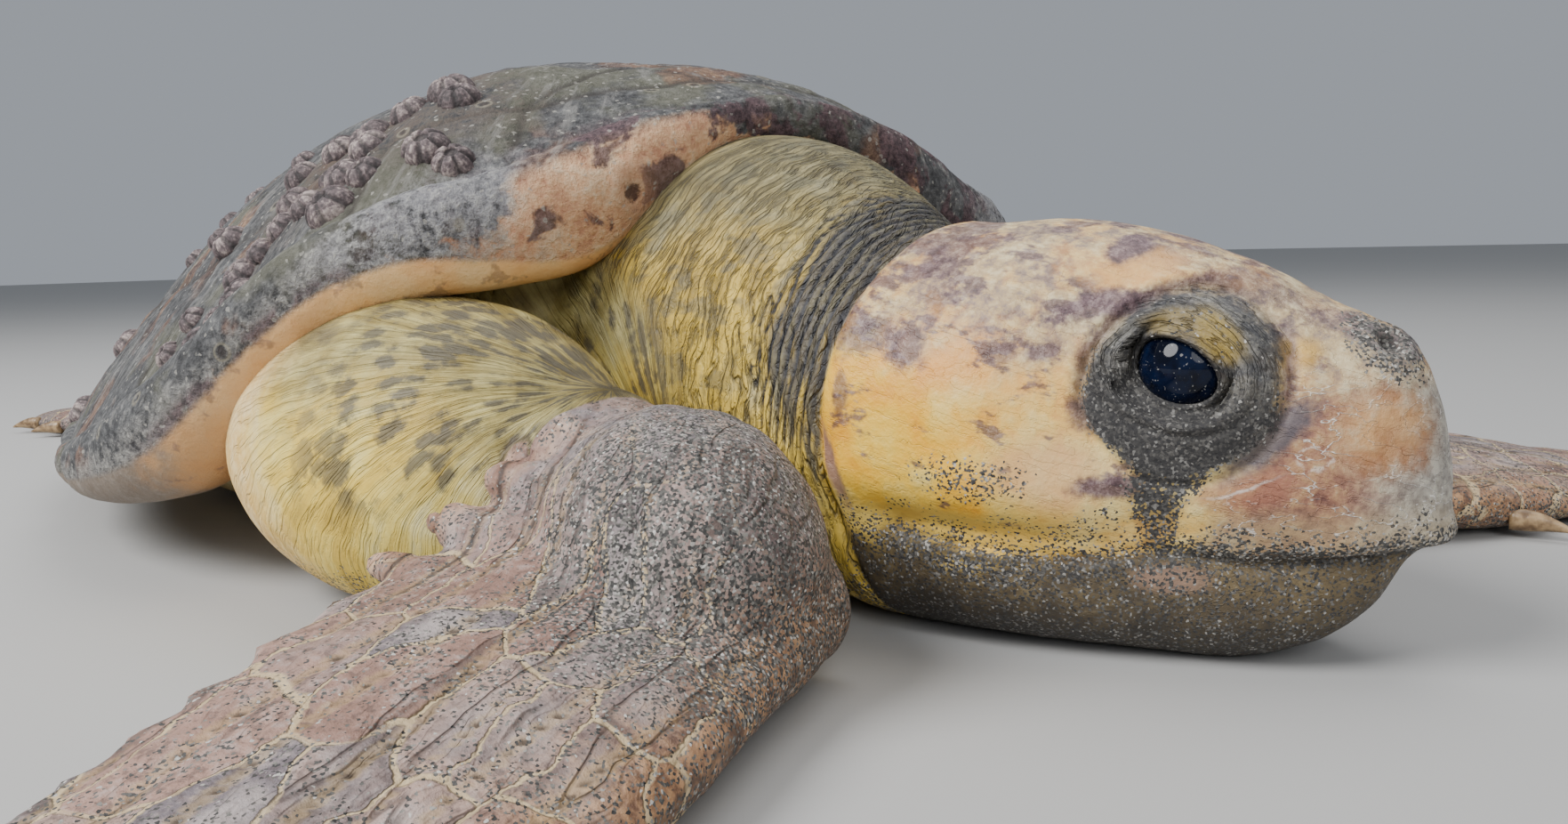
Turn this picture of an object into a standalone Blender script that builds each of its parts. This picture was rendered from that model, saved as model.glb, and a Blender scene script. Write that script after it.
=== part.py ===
"""Life-size loggerhead sea turtle resting on its plastron, as a still museum model.

Metres, +Z up. The turtle faces +X and its left side is +Y. The origin lies on the floor below the
middle of its bounding box.
"""

from math import cos, pi, radians, sin

import bmesh
import bpy
import numpy as np
from mathutils import Matrix, Vector

# Driving dimensions
SHELL_LENGTH = 0.90
SHELL_WIDTH = 0.70
SHELL_THICKNESS = 0.011
PLASTRON_THICKNESS = 0.014
# The head is turned a little to the turtle's left; its own axes start at its rear
HEAD_TURN = radians(16)
HEAD_REAR = Vector((0.565, -0.017, 0.0))
EYE_RADIUS = 0.0180
EYE_PLACE = Vector((0.151, 0.0485, 0.129))
LID_PLACE = Vector((0.154, 0.044, 0.121))
LID_RADII = (0.036, 0.023, 0.038)
CLAW_LENGTH = 0.024
CLAW_ROOT = 0.0065
CLAW_HEIGHT = 0.011
# Neighbouring parts stand this far apart
GAP = 0.0006
# Skin this near the floor lies flat on it
FLOOR_SNAP = 0.0022
# Size of the voxels that merge the flesh, and how many triangles are kept of them
VOXEL = 0.0038
SKIN_TRIANGLES = 2500

COLOURS = {
    "shell": (0.20, 0.17, 0.13, 0.75),
    "plastron": (0.62, 0.50, 0.27, 0.6),
    "skin": (0.50, 0.38, 0.12, 0.6),
    "head_skin": (0.62, 0.40, 0.16, 0.5),
    "flipper_skin": (0.25, 0.13, 0.09, 0.6),
    "jaw": (0.34, 0.24, 0.14, 0.4),
    "claw": (0.40, 0.28, 0.16, 0.35),
    "eye": (0.01, 0.01, 0.015, 0.05),
}


# ---------------------------------------------------------------- shared tools
def material(name):
    """The named finish, made the first time that it is asked for."""
    found = bpy.data.materials.get(name)
    if found:
        return found
    made = bpy.data.materials.new(name)
    made.use_nodes = True
    red, green, blue, rough = COLOURS[name]
    shader = made.node_tree.nodes["Principled BSDF"]
    shader.inputs["Base Color"].default_value = (red, green, blue, 1.0)
    shader.inputs["Roughness"].default_value = rough
    shader.inputs["Metallic"].default_value = 0.0
    made.diffuse_color = (red, green, blue, 1.0)
    return made


def track(knots, at):
    """A smooth line through (place, value) knots, read at one place or at an array of them."""
    place = np.array([k[0] for k in knots], float)
    value = np.array([k[1] for k in knots], float)
    rise = np.diff(value) / np.diff(place)
    slope = np.concatenate([rise[:1], (rise[1:] + rise[:-1]) / 2, rise[-1:]])
    turning = np.concatenate([[False], rise[1:] * rise[:-1] <= 0, [False]])
    slope[turning] = 0.0
    at = np.clip(at, place[0], place[-1])
    i = np.clip(np.searchsorted(place, at) - 1, 0, len(place) - 2)
    step = place[i + 1] - place[i]
    u = (at - place[i]) / step
    return (
        (2 * u**3 - 3 * u**2 + 1) * value[i]
        + (u**3 - 2 * u**2 + u) * step * slope[i]
        + (3 * u**2 - 2 * u**3) * value[i + 1]
        + (u**3 - u**2) * step * slope[i + 1]
    )


def power(x, n):
    """x to the power n, keeping its sign."""
    return np.sign(x) * np.abs(x) ** n


def add_loft(bm, rings):
    """Skins a list of rings, each a list of points in the same turn, and closes both ends."""
    rows = [[bm.verts.new(p) for p in ring] for ring in rings]
    count = len(rows[0])
    for low, high in zip(rows, rows[1:]):
        for i in range(count):
            j = (i + 1) % count
            bm.faces.new((low[i], low[j], high[j], high[i]))
    bm.faces.new(rows[0][::-1])
    bm.faces.new(rows[-1])


def add_blob(bm, centre, radii, turn=(0, 0, 0)):
    """An ellipsoid, turned about X, Y and Z by degrees."""
    spin = Matrix.Identity(4)
    for angle, axis in zip(turn, "XYZ"):
        spin = Matrix.Rotation(radians(angle), 4, axis) @ spin
    place = Matrix.Translation(centre) @ spin @ Matrix.Diagonal((*radii, 1.0))
    bmesh.ops.create_uvsphere(bm, u_segments=32, v_segments=20, radius=1.0, matrix=place)


def make_object(name, bm, finish=None):
    bmesh.ops.recalc_face_normals(bm, faces=bm.faces)
    mesh = bpy.data.meshes.new(name)
    bm.to_mesh(mesh)
    bm.free()
    obj = bpy.data.objects.new(name, mesh)
    bpy.context.collection.objects.link(obj)
    if finish:
        dress(obj, finish)
    return obj


def dress(obj, finish):
    obj.data.materials.clear()
    obj.data.materials.append(material(finish))
    obj.data.shade_smooth()
    obj.data.set_sharp_from_angle(angle=radians(45))


def apply_modifiers(obj):
    """Turns the object's mesh into its evaluated shape."""
    graph = bpy.context.evaluated_depsgraph_get()
    bm = bmesh.new()
    bm.from_object(obj, graph)
    obj.modifiers.clear()
    bm.to_mesh(obj.data)
    bm.free()


def cut(obj, cutter, operation="DIFFERENCE", solver="MANIFOLD"):
    """Applies one Boolean to obj."""
    modifier = obj.modifiers.new("cut", "BOOLEAN")
    modifier.object = cutter
    modifier.operation = operation
    modifier.solver = solver
    apply_modifiers(obj)


def drop(*objects):
    for obj in objects:
        bpy.data.objects.remove(obj)


def keep_largest(obj):
    """Deletes the crumbs that a cut can leave, keeping the one main piece."""
    bm = bmesh.new()
    bm.from_mesh(obj.data)
    left = set(bm.verts)
    pieces = []
    while left:
        piece, edge = set(), [left.pop()]
        while edge:
            vertex = edge.pop()
            piece.add(vertex)
            near = {e.other_vert(vertex) for e in vertex.link_edges} & left
            left -= near
            edge.extend(near)
        pieces.append(piece)
    pieces.sort(key=len)
    for piece in pieces[:-1]:
        bmesh.ops.delete(bm, geom=list(piece), context="VERTS")
    bm.to_mesh(obj.data)
    bm.free()


def copy_of(obj, name):
    made = bpy.data.objects.new(name, obj.data.copy())
    bpy.context.collection.objects.link(made)
    return made


# ---------------------------------------------------------------- carapace
# Heights of the rim's upper and lower edges by degrees from the nape, and of the spine by x
RIM_HEIGHT = [
    (0, 0.268), (6, 0.251), (11, 0.230), (16, 0.206), (21, 0.190), (28, 0.176), (34, 0.160), (40, 0.133),
    (46, 0.106), (53, 0.079), (62, 0.063), (85, 0.056), (120, 0.058), (150, 0.062), (180, 0.068),
]
RIM_LOW = [
    (0, 0.244), (3, 0.240), (6, 0.220), (9, 0.196), (13, 0.174), (20, 0.163), (28, 0.156), (33, 0.142),
    (38, 0.116), (43, 0.084), (48, 0.058), (58, 0.042), (85, 0.036), (120, 0.038), (150, 0.042), (180, 0.047),
]
# How far the rolled lip stands out, as a share of its height
RIM_ROLL = 0.42
CREST_HEIGHT = [
    (-0.45, 0.085), (-0.32, 0.150), (-0.15, 0.238), (0.02, 0.290), (0.16, 0.307),
    (0.28, 0.306), (0.36, 0.294), (0.41, 0.280), (0.46, 0.266),
]
SPINE_HALF = 0.24
# Share of the way from the spine to the edge where the rim plates begin
RIM_SEAM = 0.80
# The shell's points crowd towards the nape, whose arch is its tightest curve
FRONT_CROWDING = 0.45
SHELL_POINTS = 42
# Cross seams of the plates along the spine: x, half-width at each seam and between seams
SEAM_X = [0.345, 0.195, 0.025, -0.145, -0.275, -0.370]
SEAM_HALF = [0.052, 0.062, 0.066, 0.062, 0.050, 0.040]
MIDDLE_HALF = [0.108, 0.122, 0.118, 0.102, 0.085]
# The other seams by degrees from the nape
COSTAL_EDGES = [21, 49, 79, 108, 134, 157]
MARGINAL_EDGES = {"front": (21, 72), "side": (72, 118), "rear": (118, 180)}
SEAM_STOPS = (0, 10, 30, 39, 60, 90, 126, 145, 168)


def shell_outline(theta):
    """Plan of the shell's edge, theta from the nape round by the left side."""
    c, s = np.cos(theta), np.sin(theta)
    x = SHELL_LENGTH / 2 * c
    y = SHELL_WIDTH / 2 * power(s, 0.80) * (1 + 0.22 * c) / 1.03
    folded = (theta + pi) % (2 * pi) - pi
    nape = np.exp(-((folded / radians(15)) ** 2))
    return x - 0.010 * nape, y


def roll_inset(degrees):
    """How far the rolled lip stands out past the edge of the upper face."""
    return RIM_ROLL * (track(RIM_HEIGHT, degrees) - track(RIM_LOW, degrees))


def shell_surface(theta, rho):
    """The shell's upper face, rho from 0 on the spine to 1 at the edge."""
    theta = np.asarray(theta, float)
    folded = np.abs((theta + pi) % (2 * pi) - pi)
    edge_x, edge_y = shell_outline(theta)
    inset = 1 - roll_inset(np.degrees(folded)) / np.hypot(edge_x, edge_y)
    edge_x, edge_y = edge_x * inset, edge_y * inset
    edge_z = track(RIM_HEIGHT, np.degrees(folded))
    spine_x = SPINE_HALF * np.cos(theta) + 0.02
    top = track(CREST_HEIGHT, spine_x)
    x = spine_x + (edge_x - spine_x) * rho
    y = edge_y * rho
    along = (1 - np.abs(np.sin(theta))) ** 0.7
    crest = track(CREST_HEIGHT, x)
    fall = 1 - rho**2.4
    z = edge_z + (top - edge_z) * fall
    z = z + (crest - z) * along * (1 - 0.5 * rho)
    return np.stack([x, y, np.maximum(z, edge_z)], -1)


def shell_rings(grow, around, rows, under_rows):
    """Rings of points over the upper face, the lip and the underside, all grown outwards by grow."""
    even = np.linspace(0, 2 * pi, around, endpoint=False)
    turn = even - FRONT_CROWDING * np.sin(even)

    def level(r):
        return shell_surface(turn, r)

    def direction(r):
        r = max(r, 0.03)
        out = level(r + 0.01) - level(r - 0.01)
        ahead = shell_surface(turn + 0.01, r) - shell_surface(turn - 0.01, r)
        normal = np.cross(out, ahead)
        return normal / np.linalg.norm(normal, axis=-1, keepdims=True)

    edge = level(1.0)
    outward = direction(1.0) * np.array([1, 1, 0])
    outward /= np.linalg.norm(outward, axis=-1, keepdims=True)
    folded = np.degrees(np.abs((turn + pi) % (2 * pi) - pi))
    drop_by = (edge[:, 2] - track(RIM_LOW, folded))[:, None]
    down = np.array([0, 0, -1.0])

    def below(r):
        return level(r) - direction(r) * (SHELL_THICKNESS + grow)

    upper = [level(r) + direction(r) * grow for r in rows]
    lip = []
    for fall, reach in ((0.18, 0.62), (0.5, 1.0), (0.84, 0.72)):
        out = outward * (drop_by * RIM_ROLL * reach + grow)
        lip.append(edge + down * (drop_by * fall + grow * (2 * fall - 1)) + out)
    foot = edge + down * (drop_by + grow) - outward * (0.006 + grow)
    under = [foot] + [below(r) for r in under_rows]
    return upper, lip, under


def shell_mesh(bm, grow=0.0, around=SHELL_POINTS):
    """The whole carapace as one closed thick plate: upper face, rounded rim and hollow underside."""
    rows = [0.0, 0.22, 0.42, 0.60, RIM_SEAM, 0.91, 1.0]
    upper, lip, under = shell_rings(grow, around, rows, [0.90, 0.60, 0.0])
    rings = [*upper[1:], *lip, *under[:-1]]
    made = [[bm.verts.new(p) for p in ring] for ring in rings]
    for low, high in zip(made, made[1:]):
        for i in range(around):
            j = (i + 1) % around
            bm.faces.new((low[i], low[j], high[j], high[i]))
    for ring, level in ((made[0], upper[0]), (made[-1], under[-1])):
        half = around // 2
        spine = [bm.verts.new(level[i] * np.array([1, 0, 1])) for i in range(half + 1)]
        for i in range(around):
            j = i + 1
            a, b = min(i, around - i), min(j, around - j)
            bm.faces.new((ring[j % around], ring[i], spine[a], spine[b]))
    bmesh.ops.triangulate(bm, faces=bm.faces, quad_method="FIXED")


def seam_point(degrees):
    """Where the seam between the rim plates and the rib plates runs, in plan."""
    theta = radians(degrees)
    wander = RIM_SEAM + 0.012 * sin(12 * theta)
    point = shell_surface(np.array([theta]), wander)[0]
    return point[0], point[1]


def far_point(degrees):
    """A plan point well past the edge, for the outer side of a rim plate's outline."""
    theta = radians(degrees)
    point = shell_surface(np.array([theta]), 1.0)[0]
    inner = seam_point(degrees)
    return inner[0] + (point[0] - inner[0]) * 2.2, inner[1] + (point[1] - inner[1]) * 2.2


def shrunk(outline, by):
    """A plan outline drawn in by a distance, corner by corner."""
    points = [Vector(p) for p in outline]
    count = len(points)
    area = sum(points[i - 1].x * points[i].y - points[i].x * points[i - 1].y for i in range(count))
    if area < 0:
        points.reverse()
    made = []
    for i in range(count):
        before = (points[i] - points[i - 1]).normalized()
        after = (points[(i + 1) % count] - points[i]).normalized()
        inward = Vector((-before.y, before.x)) + Vector((-after.y, after.x))
        made.append(points[i] + inward * (by / max(0.3, 1 + before.dot(after))))
    return [(p.x, p.y) for p in made]


def add_plate(name, outline, whole):
    """One shell plate: the part of the whole shell inside a vertical prism."""
    bm = bmesh.new()
    inset = shrunk(outline, GAP / 2)
    add_loft(bm, [[(x, y, z) for x, y in inset] for z in (-0.05, 0.50)])
    prism = make_object(name + "_prism", bm)
    plate = copy_of(whole, name)
    cut(plate, prism, "INTERSECT", "EXACT")
    drop(prism)
    dress(plate, "shell")
    return plate


def seam_run(start, end):
    """The seam's corners from start to end, in degrees, the same for the plates on both sides of it."""
    stops = sorted({*COSTAL_EDGES, *sum(MARGINAL_EDGES.values(), ()), *SEAM_STOPS})
    return [seam_point(a) for a in stops if start <= a <= end]


def mirrored(points):
    return [(x, -y) for x, y in reversed(points)]


def make_carapace():
    bm = bmesh.new()
    shell_mesh(bm)
    whole = make_object("carapace_whole", bm)
    ends = list(zip(SEAM_X, SEAM_HALF))
    middles = [((SEAM_X[i] + SEAM_X[i + 1]) / 2, half) for i, half in enumerate(MIDDLE_HALF)]
    front = seam_run(0, COSTAL_EDGES[0])
    rear = seam_run(COSTAL_EDGES[5], 180)
    for i in range(5):
        left = [ends[i], middles[i], ends[i + 1]]
        if i == 0:
            left = front + left[1:]
        elif i == 4:
            left = left[:-1] + rear
        outline = left + mirrored(left)
        corners = [p for k, p in enumerate(outline) if (Vector(p) - Vector(outline[k - 1])).length > 1e-6]
        add_plate(f"vertebral_{i + 1}", corners, whole)
    for side, sign in (("left", 1), ("right", -1)):
        for i in range(5):
            inner = [middles[i - 1], ends[i], middles[i]] if i else [middles[0]]
            outer = seam_run(COSTAL_EDGES[i], COSTAL_EDGES[i + 1])
            add_plate(f"costal_{side}_{i + 1}", [(x, sign * y) for x, y in inner + outer[::-1]], whole)
        for place, (start, end) in MARGINAL_EDGES.items():
            inner = seam_run(start, end)
            outer = [far_point(a) for a in np.linspace(start, end, 5)]
            add_plate(f"marginals_{side}_{place}", [(x, sign * y) for x, y in inner + outer[::-1]], whole)
    nape = front + [far_point(COSTAL_EDGES[0])]
    add_plate("nuchal", nape + mirrored(nape)[:-1], whole)
    drop(whole)


# ---------------------------------------------------------------- plastron
# Height of the belly plate's edge by degrees from its front
PLASTRON_RISE = [
    (0, 0.022), (35, 0.014), (60, 0.030), (90, 0.034), (125, 0.030), (150, 0.012), (180, 0.014),
]
PLASTRON_FRONT = 0.325
PLASTRON_REAR = 0.345
PLASTRON_HALF = 0.275


def plastron_mesh(bm, grow=0.0, around=30):
    """The belly plate: flat below, its edge turned up to the shell's rim at the bridges."""
    turn = np.linspace(0, 2 * pi, around, endpoint=False)
    degrees = np.degrees(np.abs((turn + pi) % (2 * pi) - pi))
    x = np.where(np.cos(turn) > 0, PLASTRON_FRONT, PLASTRON_REAR) * np.cos(turn) - 0.005
    y = PLASTRON_HALF * power(np.sin(turn), 0.72)
    rise = track(PLASTRON_RISE, degrees)

    def ring(share, z):
        return np.stack([x * share, y * share, z], -1)

    flat, thick = np.zeros(around), PLASTRON_THICKNESS
    low = [ring(0.35, flat - grow), ring(0.78, flat - grow), ring(0.90, rise * 0.25 - grow)]
    low.append(ring(1.0 + grow / 0.3, rise - grow))
    high = [ring(0.985 + grow / 0.3, rise + thick * 0.8 + grow), ring(0.78, flat + thick + grow)]
    add_loft(bm, low + high)
    bmesh.ops.triangulate(bm, faces=bm.faces, quad_method="FIXED")


# ---------------------------------------------------------------- flesh
# The head in its own axes: heights and half-widths by distance ahead of its rear
HEAD_TOP = [
    (-0.06, 0.160), (-0.02, 0.180), (0.025, 0.188), (0.080, 0.190), (0.125, 0.184), (0.161, 0.171),
    (0.190, 0.156), (0.212, 0.145), (0.224, 0.136), (0.233, 0.118), (0.240, 0.090), (0.244, 0.066),
]
HEAD_HALF = [
    (-0.06, 0.076), (-0.02, 0.088), (0.03, 0.096), (0.065, 0.096), (0.10, 0.088), (0.13, 0.076),
    (0.155, 0.065),
    (0.18, 0.054), (0.20, 0.045), (0.217, 0.036), (0.230, 0.026), (0.239, 0.016), (0.244, 0.005),
]
MOUTH_LINE = [
    (-0.06, 0.050), (0.035, 0.052), (0.11, 0.049), (0.145, 0.053), (0.18, 0.048), (0.21, 0.050),
    (0.25, 0.055),
]
JAW_LOW = [
    (-0.05, 0.022), (-0.01, 0.002), (0.03, -0.003), (0.155, -0.003),
    (0.19, 0.006), (0.208, 0.016), (0.222, 0.034), (0.2285, 0.048),
]
JAW_HALF = [
    (-0.05, 0.066), (0.0, 0.084), (0.05, 0.086), (0.10, 0.078), (0.15, 0.060),
    (0.19, 0.040), (0.21, 0.027), (0.222, 0.016), (0.2285, 0.004),
]


def head_point(x, y, z):
    """From the head's own axes, x ahead of its rear and y to its left, to the body's."""
    c, s = cos(HEAD_TURN), sin(HEAD_TURN)
    return (HEAD_REAR.x + x * c - y * s, HEAD_REAR.y + x * s + y * c, z)


def section(half, top, low, waist, square_top=2.3, square_low=2.6, count=40):
    """One closed cross-section as (y, z) points, widest at the height of its waist."""
    t = np.linspace(0, 2 * pi, count, endpoint=False)
    c, s = np.cos(t), np.sin(t)
    n = np.where(s >= 0, square_top, square_low)
    reach = np.where(s >= 0, top - waist, waist - low)
    return half * power(c, 2 / n), waist + reach * power(s, 2 / n)


def add_head(bm):
    rings = []
    for x in np.concatenate([np.linspace(-0.06, 0.20, 18), np.linspace(0.207, 0.244, 9)]):
        top, half, low = track(HEAD_TOP, x), track(HEAD_HALF, x), track(MOUTH_LINE, x) - 0.002
        low = min(low, top - 0.006)
        y, z = section(half, top, low, low + (top - low) * 0.34, 2.15, 3.2)
        rings.append([head_point(x, b, c) for b, c in zip(y, z)])
    add_loft(bm, rings)
    for side in (-1, 1):
        centre = head_point(LID_PLACE.x, side * LID_PLACE.y, LID_PLACE.z)
        add_blob(bm, centre, LID_RADII, (side * 16, 0, np.degrees(HEAD_TURN) - side * 10))
    rings = []
    for x in np.concatenate([np.linspace(-0.05, 0.19, 14), np.linspace(0.197, 0.2285, 7)]):
        top, half, low = track(MOUTH_LINE, x) + 0.012, track(JAW_HALF, x), track(JAW_LOW, x)
        y, z = section(half, top, min(low, top - 0.012), top - 0.018, 2.6, 2.6)
        rings.append([head_point(x, b, c) for b, c in zip(y, z)])
    add_loft(bm, rings)


NECK = [
    # x, centre y, half-width, top, low, degrees turned towards the head
    (0.26, 0.000, 0.150, 0.240, 0.020, 0.0),
    (0.34, -0.001, 0.140, 0.246, 0.018, 0.0),
    (0.42, -0.004, 0.122, 0.247, 0.012, 3.0),
    (0.48, -0.008, 0.108, 0.238, 0.008, 8.0),
    (0.53, -0.012, 0.098, 0.217, 0.006, 12.0),
    (0.575, -0.013, 0.090, 0.188, 0.010, 16.0),
    (0.61, -0.004, 0.080, 0.165, 0.018, 16.0),
]


def add_neck(bm):
    rings = []
    for x in np.linspace(NECK[0][0], NECK[-1][0], 14):
        middle, half, top, low, turn = (track([(row[0], row[k]) for row in NECK], x) for k in range(1, 6))
        y, z = section(half, top, low, low + (top - low) * 0.45, 2.1, 2.4)
        c, s = cos(radians(turn)), sin(radians(turn))
        rings.append([(x - b * s, middle + b * c, h) for b, h in zip(y, z)])
    add_loft(bm, rings)


def add_trunk(bm, around=SHELL_POINTS):
    """The body inside the shell, from the middle of the shell's thickness down to the belly plate."""
    upper, _, _ = shell_rings(-SHELL_THICKNESS / 2, around, [0.0, 0.25, 0.5, 0.72, 0.88], [0.9])
    edge = upper[-1]
    side = edge * np.array([0.96, 0.96, 0]) + np.array([0, 0, 1]) * np.maximum(edge[:, 2:] * 0.45, 0.022)
    floor = edge * np.array([0.80, 0.84, 0]) + np.array([0, 0, 0.008])
    upper[0] = upper[0] * np.array([1, 0, 1]) + (upper[1] - upper[0] * np.array([1, 0, 1])) * 0.02
    add_loft(bm, [upper[0], *upper[1:], side, floor])


# The fore limb, written for the right side: blobs as centre, radii and turn
ARM = [
    ((0.385, -0.212, 0.078), (0.150, 0.088, 0.083), (0, 0, 8)),
    ((0.500, -0.185, 0.068), (0.090, 0.052, 0.054), (0, 2, 4)),
    ((0.590, -0.185, 0.056), (0.078, 0.062, 0.060), (0, 4, -20)),
]
# Blade of the fore flipper, from the elbow to the tip
BLADE = [
    # along, lead x, lead y, trail x, trail y, trail height, thickness
    (0.00, 0.640, -0.130, 0.530, -0.215, 0.070, 0.062),
    (0.12, 0.660, -0.165, 0.538, -0.248, 0.060, 0.055),
    (0.30, 0.692, -0.222, 0.560, -0.315, 0.050, 0.045),
    (0.45, 0.724, -0.277, 0.597, -0.360, 0.045, 0.037),
    (0.62, 0.750, -0.345, 0.622, -0.402, 0.038, 0.030),
    (0.80, 0.766, -0.420, 0.657, -0.455, 0.026, 0.022),
    (0.93, 0.768, -0.475, 0.708, -0.503, 0.012, 0.016),
    (1.00, 0.762, -0.505, 0.752, -0.515, 0.004, 0.012),
]


def add_blade(bm, side, rows=BLADE, stations=28, lobes=11):
    """A flipper blade: thick round leading edge on the floor, thin lobed trailing edge."""
    shares = np.linspace(0, 1, 13) ** 1.5
    around = [(u, 1) for u in shares] + [(u, -1) for u in shares[-2:0:-1]]
    rings = []
    for along in np.linspace(0, 1, stations):
        values = [track([(row[0], row[k]) for row in rows], along) for k in range(1, 7)]
        lead, trail = np.array(values[0:2]), np.array(values[2:4])
        lift, thick = values[4], values[5]
        chord = (trail - lead) / np.linalg.norm(trail - lead)
        trail = trail + chord * 0.007 * abs(sin(lobes * pi * along)) * (1 - 0.8 * along)
        ring = []
        for u, face in around:
            body = 1.4845 * u**0.5 - 0.63 * u - 1.758 * u**2 + 1.4215 * u**3 - 0.5075 * u**4
            rise = lift * max(0.0, (u - 0.22) / 0.78) ** 1.2
            if face > 0:
                height = rise + thick * (0.5 + body if u < 0.3 else 2 * body) + 0.005 * min(1, u * 3)
            else:
                height = rise + thick * (0.5 - body if u < 0.3 else 0.0)
            place = lead + (trail - lead) * u
            ring.append((place[0], side * -place[1], height))
        rings.append(ring)
    add_loft(bm, rings)


def add_fore_limb(bm, side):
    """side is -1 for the right limb and 1 for the left."""
    for centre, radii, turn in ARM:
        add_blob(bm, (centre[0], side * -centre[1], centre[2]), radii, (turn[0], turn[1], turn[2] * -side))
    add_blade(bm, side)


THIGH = [
    ((-0.300, -0.165, 0.052), (0.105, 0.075, 0.050), (0, 0, 25)),
    ((-0.385, -0.205, 0.036), (0.070, 0.052, 0.034), (0, 0, 35)),
]
HIND_BLADE = [
    (0.00, -0.375, -0.265, -0.345, -0.165, 0.016, 0.036),
    (0.25, -0.440, -0.290, -0.405, -0.165, 0.012, 0.028),
    (0.55, -0.510, -0.310, -0.475, -0.185, 0.010, 0.021),
    (0.80, -0.568, -0.312, -0.540, -0.220, 0.008, 0.015),
    (0.94, -0.598, -0.298, -0.585, -0.252, 0.007, 0.011),
    (1.00, -0.606, -0.282, -0.604, -0.270, 0.006, 0.009),
]


def add_hind_limb(bm, side):
    for centre, radii, turn in THIGH:
        add_blob(bm, (centre[0], side * -centre[1], centre[2]), radii, (turn[0], turn[1], turn[2] * -side))
    add_blade(bm, side, HIND_BLADE, 18, 7)


def add_tail(bm):
    rings = []
    for along in np.linspace(0, 1, 9):
        x = -0.30 - 0.20 * along
        half = 0.050 * (1 - along) ** 0.8 + 0.006
        top = 0.085 * (1 - along) + 0.014
        y, z = section(half, top, 0.0, top * 0.45, 2.1, 2.4, 24)
        rings.append([(x, b, h) for b, h in zip(y, z)])
    add_loft(bm, rings)


def make_skin():
    """All the flesh as one even skin, before it is parted."""
    bm = bmesh.new()
    for add in (add_head, add_neck, add_trunk, add_tail):
        add(bm)
    for side in (-1, 1):
        add_fore_limb(bm, side)
        add_hind_limb(bm, side)
    skin = make_object("skin", bm)
    remesh = skin.modifiers.new("remesh", "REMESH")
    remesh.mode = "VOXEL"
    remesh.voxel_size = VOXEL
    smooth = skin.modifiers.new("smooth", "SMOOTH")
    smooth.factor = 0.5
    smooth.iterations = 6
    apply_modifiers(skin)
    for vertex in skin.data.vertices:
        if vertex.co.z < FLOOR_SNAP:
            vertex.co.z = 0.0
    count = sum(len(face.vertices) - 2 for face in skin.data.polygons)
    decimate = skin.modifiers.new("decimate", "DECIMATE")
    decimate.ratio = SKIN_TRIANGLES / count
    apply_modifiers(skin)
    for vertex in skin.data.vertices:
        vertex.co.z = max(0.0, vertex.co.z)
    return skin


# ---------------------------------------------------------------- parting the skin
def box_mesh(bm, low, high, turn=0.0, pivot=(0, 0, 0), grow=0.0):
    """A box between two corners, grown all round, then turned about a vertical line."""
    low, high = Vector(low) - Vector((grow,) * 3), Vector(high) + Vector((grow,) * 3)
    place = Matrix.Translation(pivot) @ Matrix.Rotation(turn, 4, "Z")
    place = place @ Matrix.Translation((low + high) / 2) @ Matrix.Diagonal((*(high - low), 1.0))
    bmesh.ops.create_cube(bm, size=1.0, matrix=place)


def jaw_region(bm, grow=0.0):
    """All of the head below the mouth line, ahead of the jaw's hinge."""
    xs = np.linspace(0.030, 0.26, 16)
    line = [(x - grow, track(MOUTH_LINE, x) + grow) for x in xs]
    outline = [(0.018 - grow, -0.02), (0.018 - grow, 0.030)] + line + [(0.27, line[-1][1]), (0.27, -0.02)]
    add_loft(bm, [[head_point(x, y, z) for x, z in outline] for y in (-0.13, 0.13)])


def part_off(source, name, finish, region):
    """Takes the part of source inside a region into a new node, a thin gap away from the rest."""
    inner, outer = bmesh.new(), bmesh.new()
    region(inner, 0.0)
    region(outer, GAP)
    keep, remove = make_object("keep", inner), make_object("remove", outer)
    node = copy_of(source, name)
    cut(node, keep, "INTERSECT")
    cut(source, remove)
    drop(keep, remove)
    keep_largest(node)
    dress(node, finish)
    return node


def limb_box(x_low, x_high, y_inner, side):
    """A region holding one limb, beyond y_inner on its own side."""
    y_low, y_high = sorted((side * y_inner, side * 0.70))
    return lambda bm, grow: box_mesh(bm, (x_low, y_low, -0.05), (x_high, y_high, 0.40), grow=grow)


# How far along each blade its two claws sit
CLAW_PLACES = {"fore": (BLADE, (0.53, 0.68)), "hind": (HIND_BLADE, (0.35, 0.60))}


def claw_mesh(bm, rows, along, side, grow=0.0):
    """A short cone out of the leading edge, its root sunk in the skin."""

    def edge(columns, at):
        return np.array([track([(row[0], row[k]) for row in rows], at) for k in columns])

    lead, ahead, trail = edge((1, 2), along), edge((1, 2), along + 0.05), edge((3, 4), along)
    out = (lead - trail) / np.linalg.norm(lead - trail)
    tip = (ahead - lead) / np.linalg.norm(ahead - lead)
    aim = (out + 0.9 * tip) / np.linalg.norm(out + 0.9 * tip)
    rings = []
    for share, size in ((-0.35, 0.9), (0.0, 1.0), (0.5, 0.72), (1.0, 0.16)):
        middle = lead + aim * CLAW_LENGTH * share + aim * (grow if share == 1.0 else 0.0)
        if share < 0:
            middle = middle - aim * grow
        radius = CLAW_ROOT * size + grow
        sideways = np.array([-aim[1], aim[0]])
        ring = []
        for t in np.linspace(0, 2 * pi, 8, endpoint=False):
            place = middle + sideways * radius * cos(t)
            height = CLAW_HEIGHT - 0.004 * max(share, 0) + radius * sin(t)
            ring.append((place[0], side * -place[1], height))
        rings.append(ring)
    add_loft(bm, rings)


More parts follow.
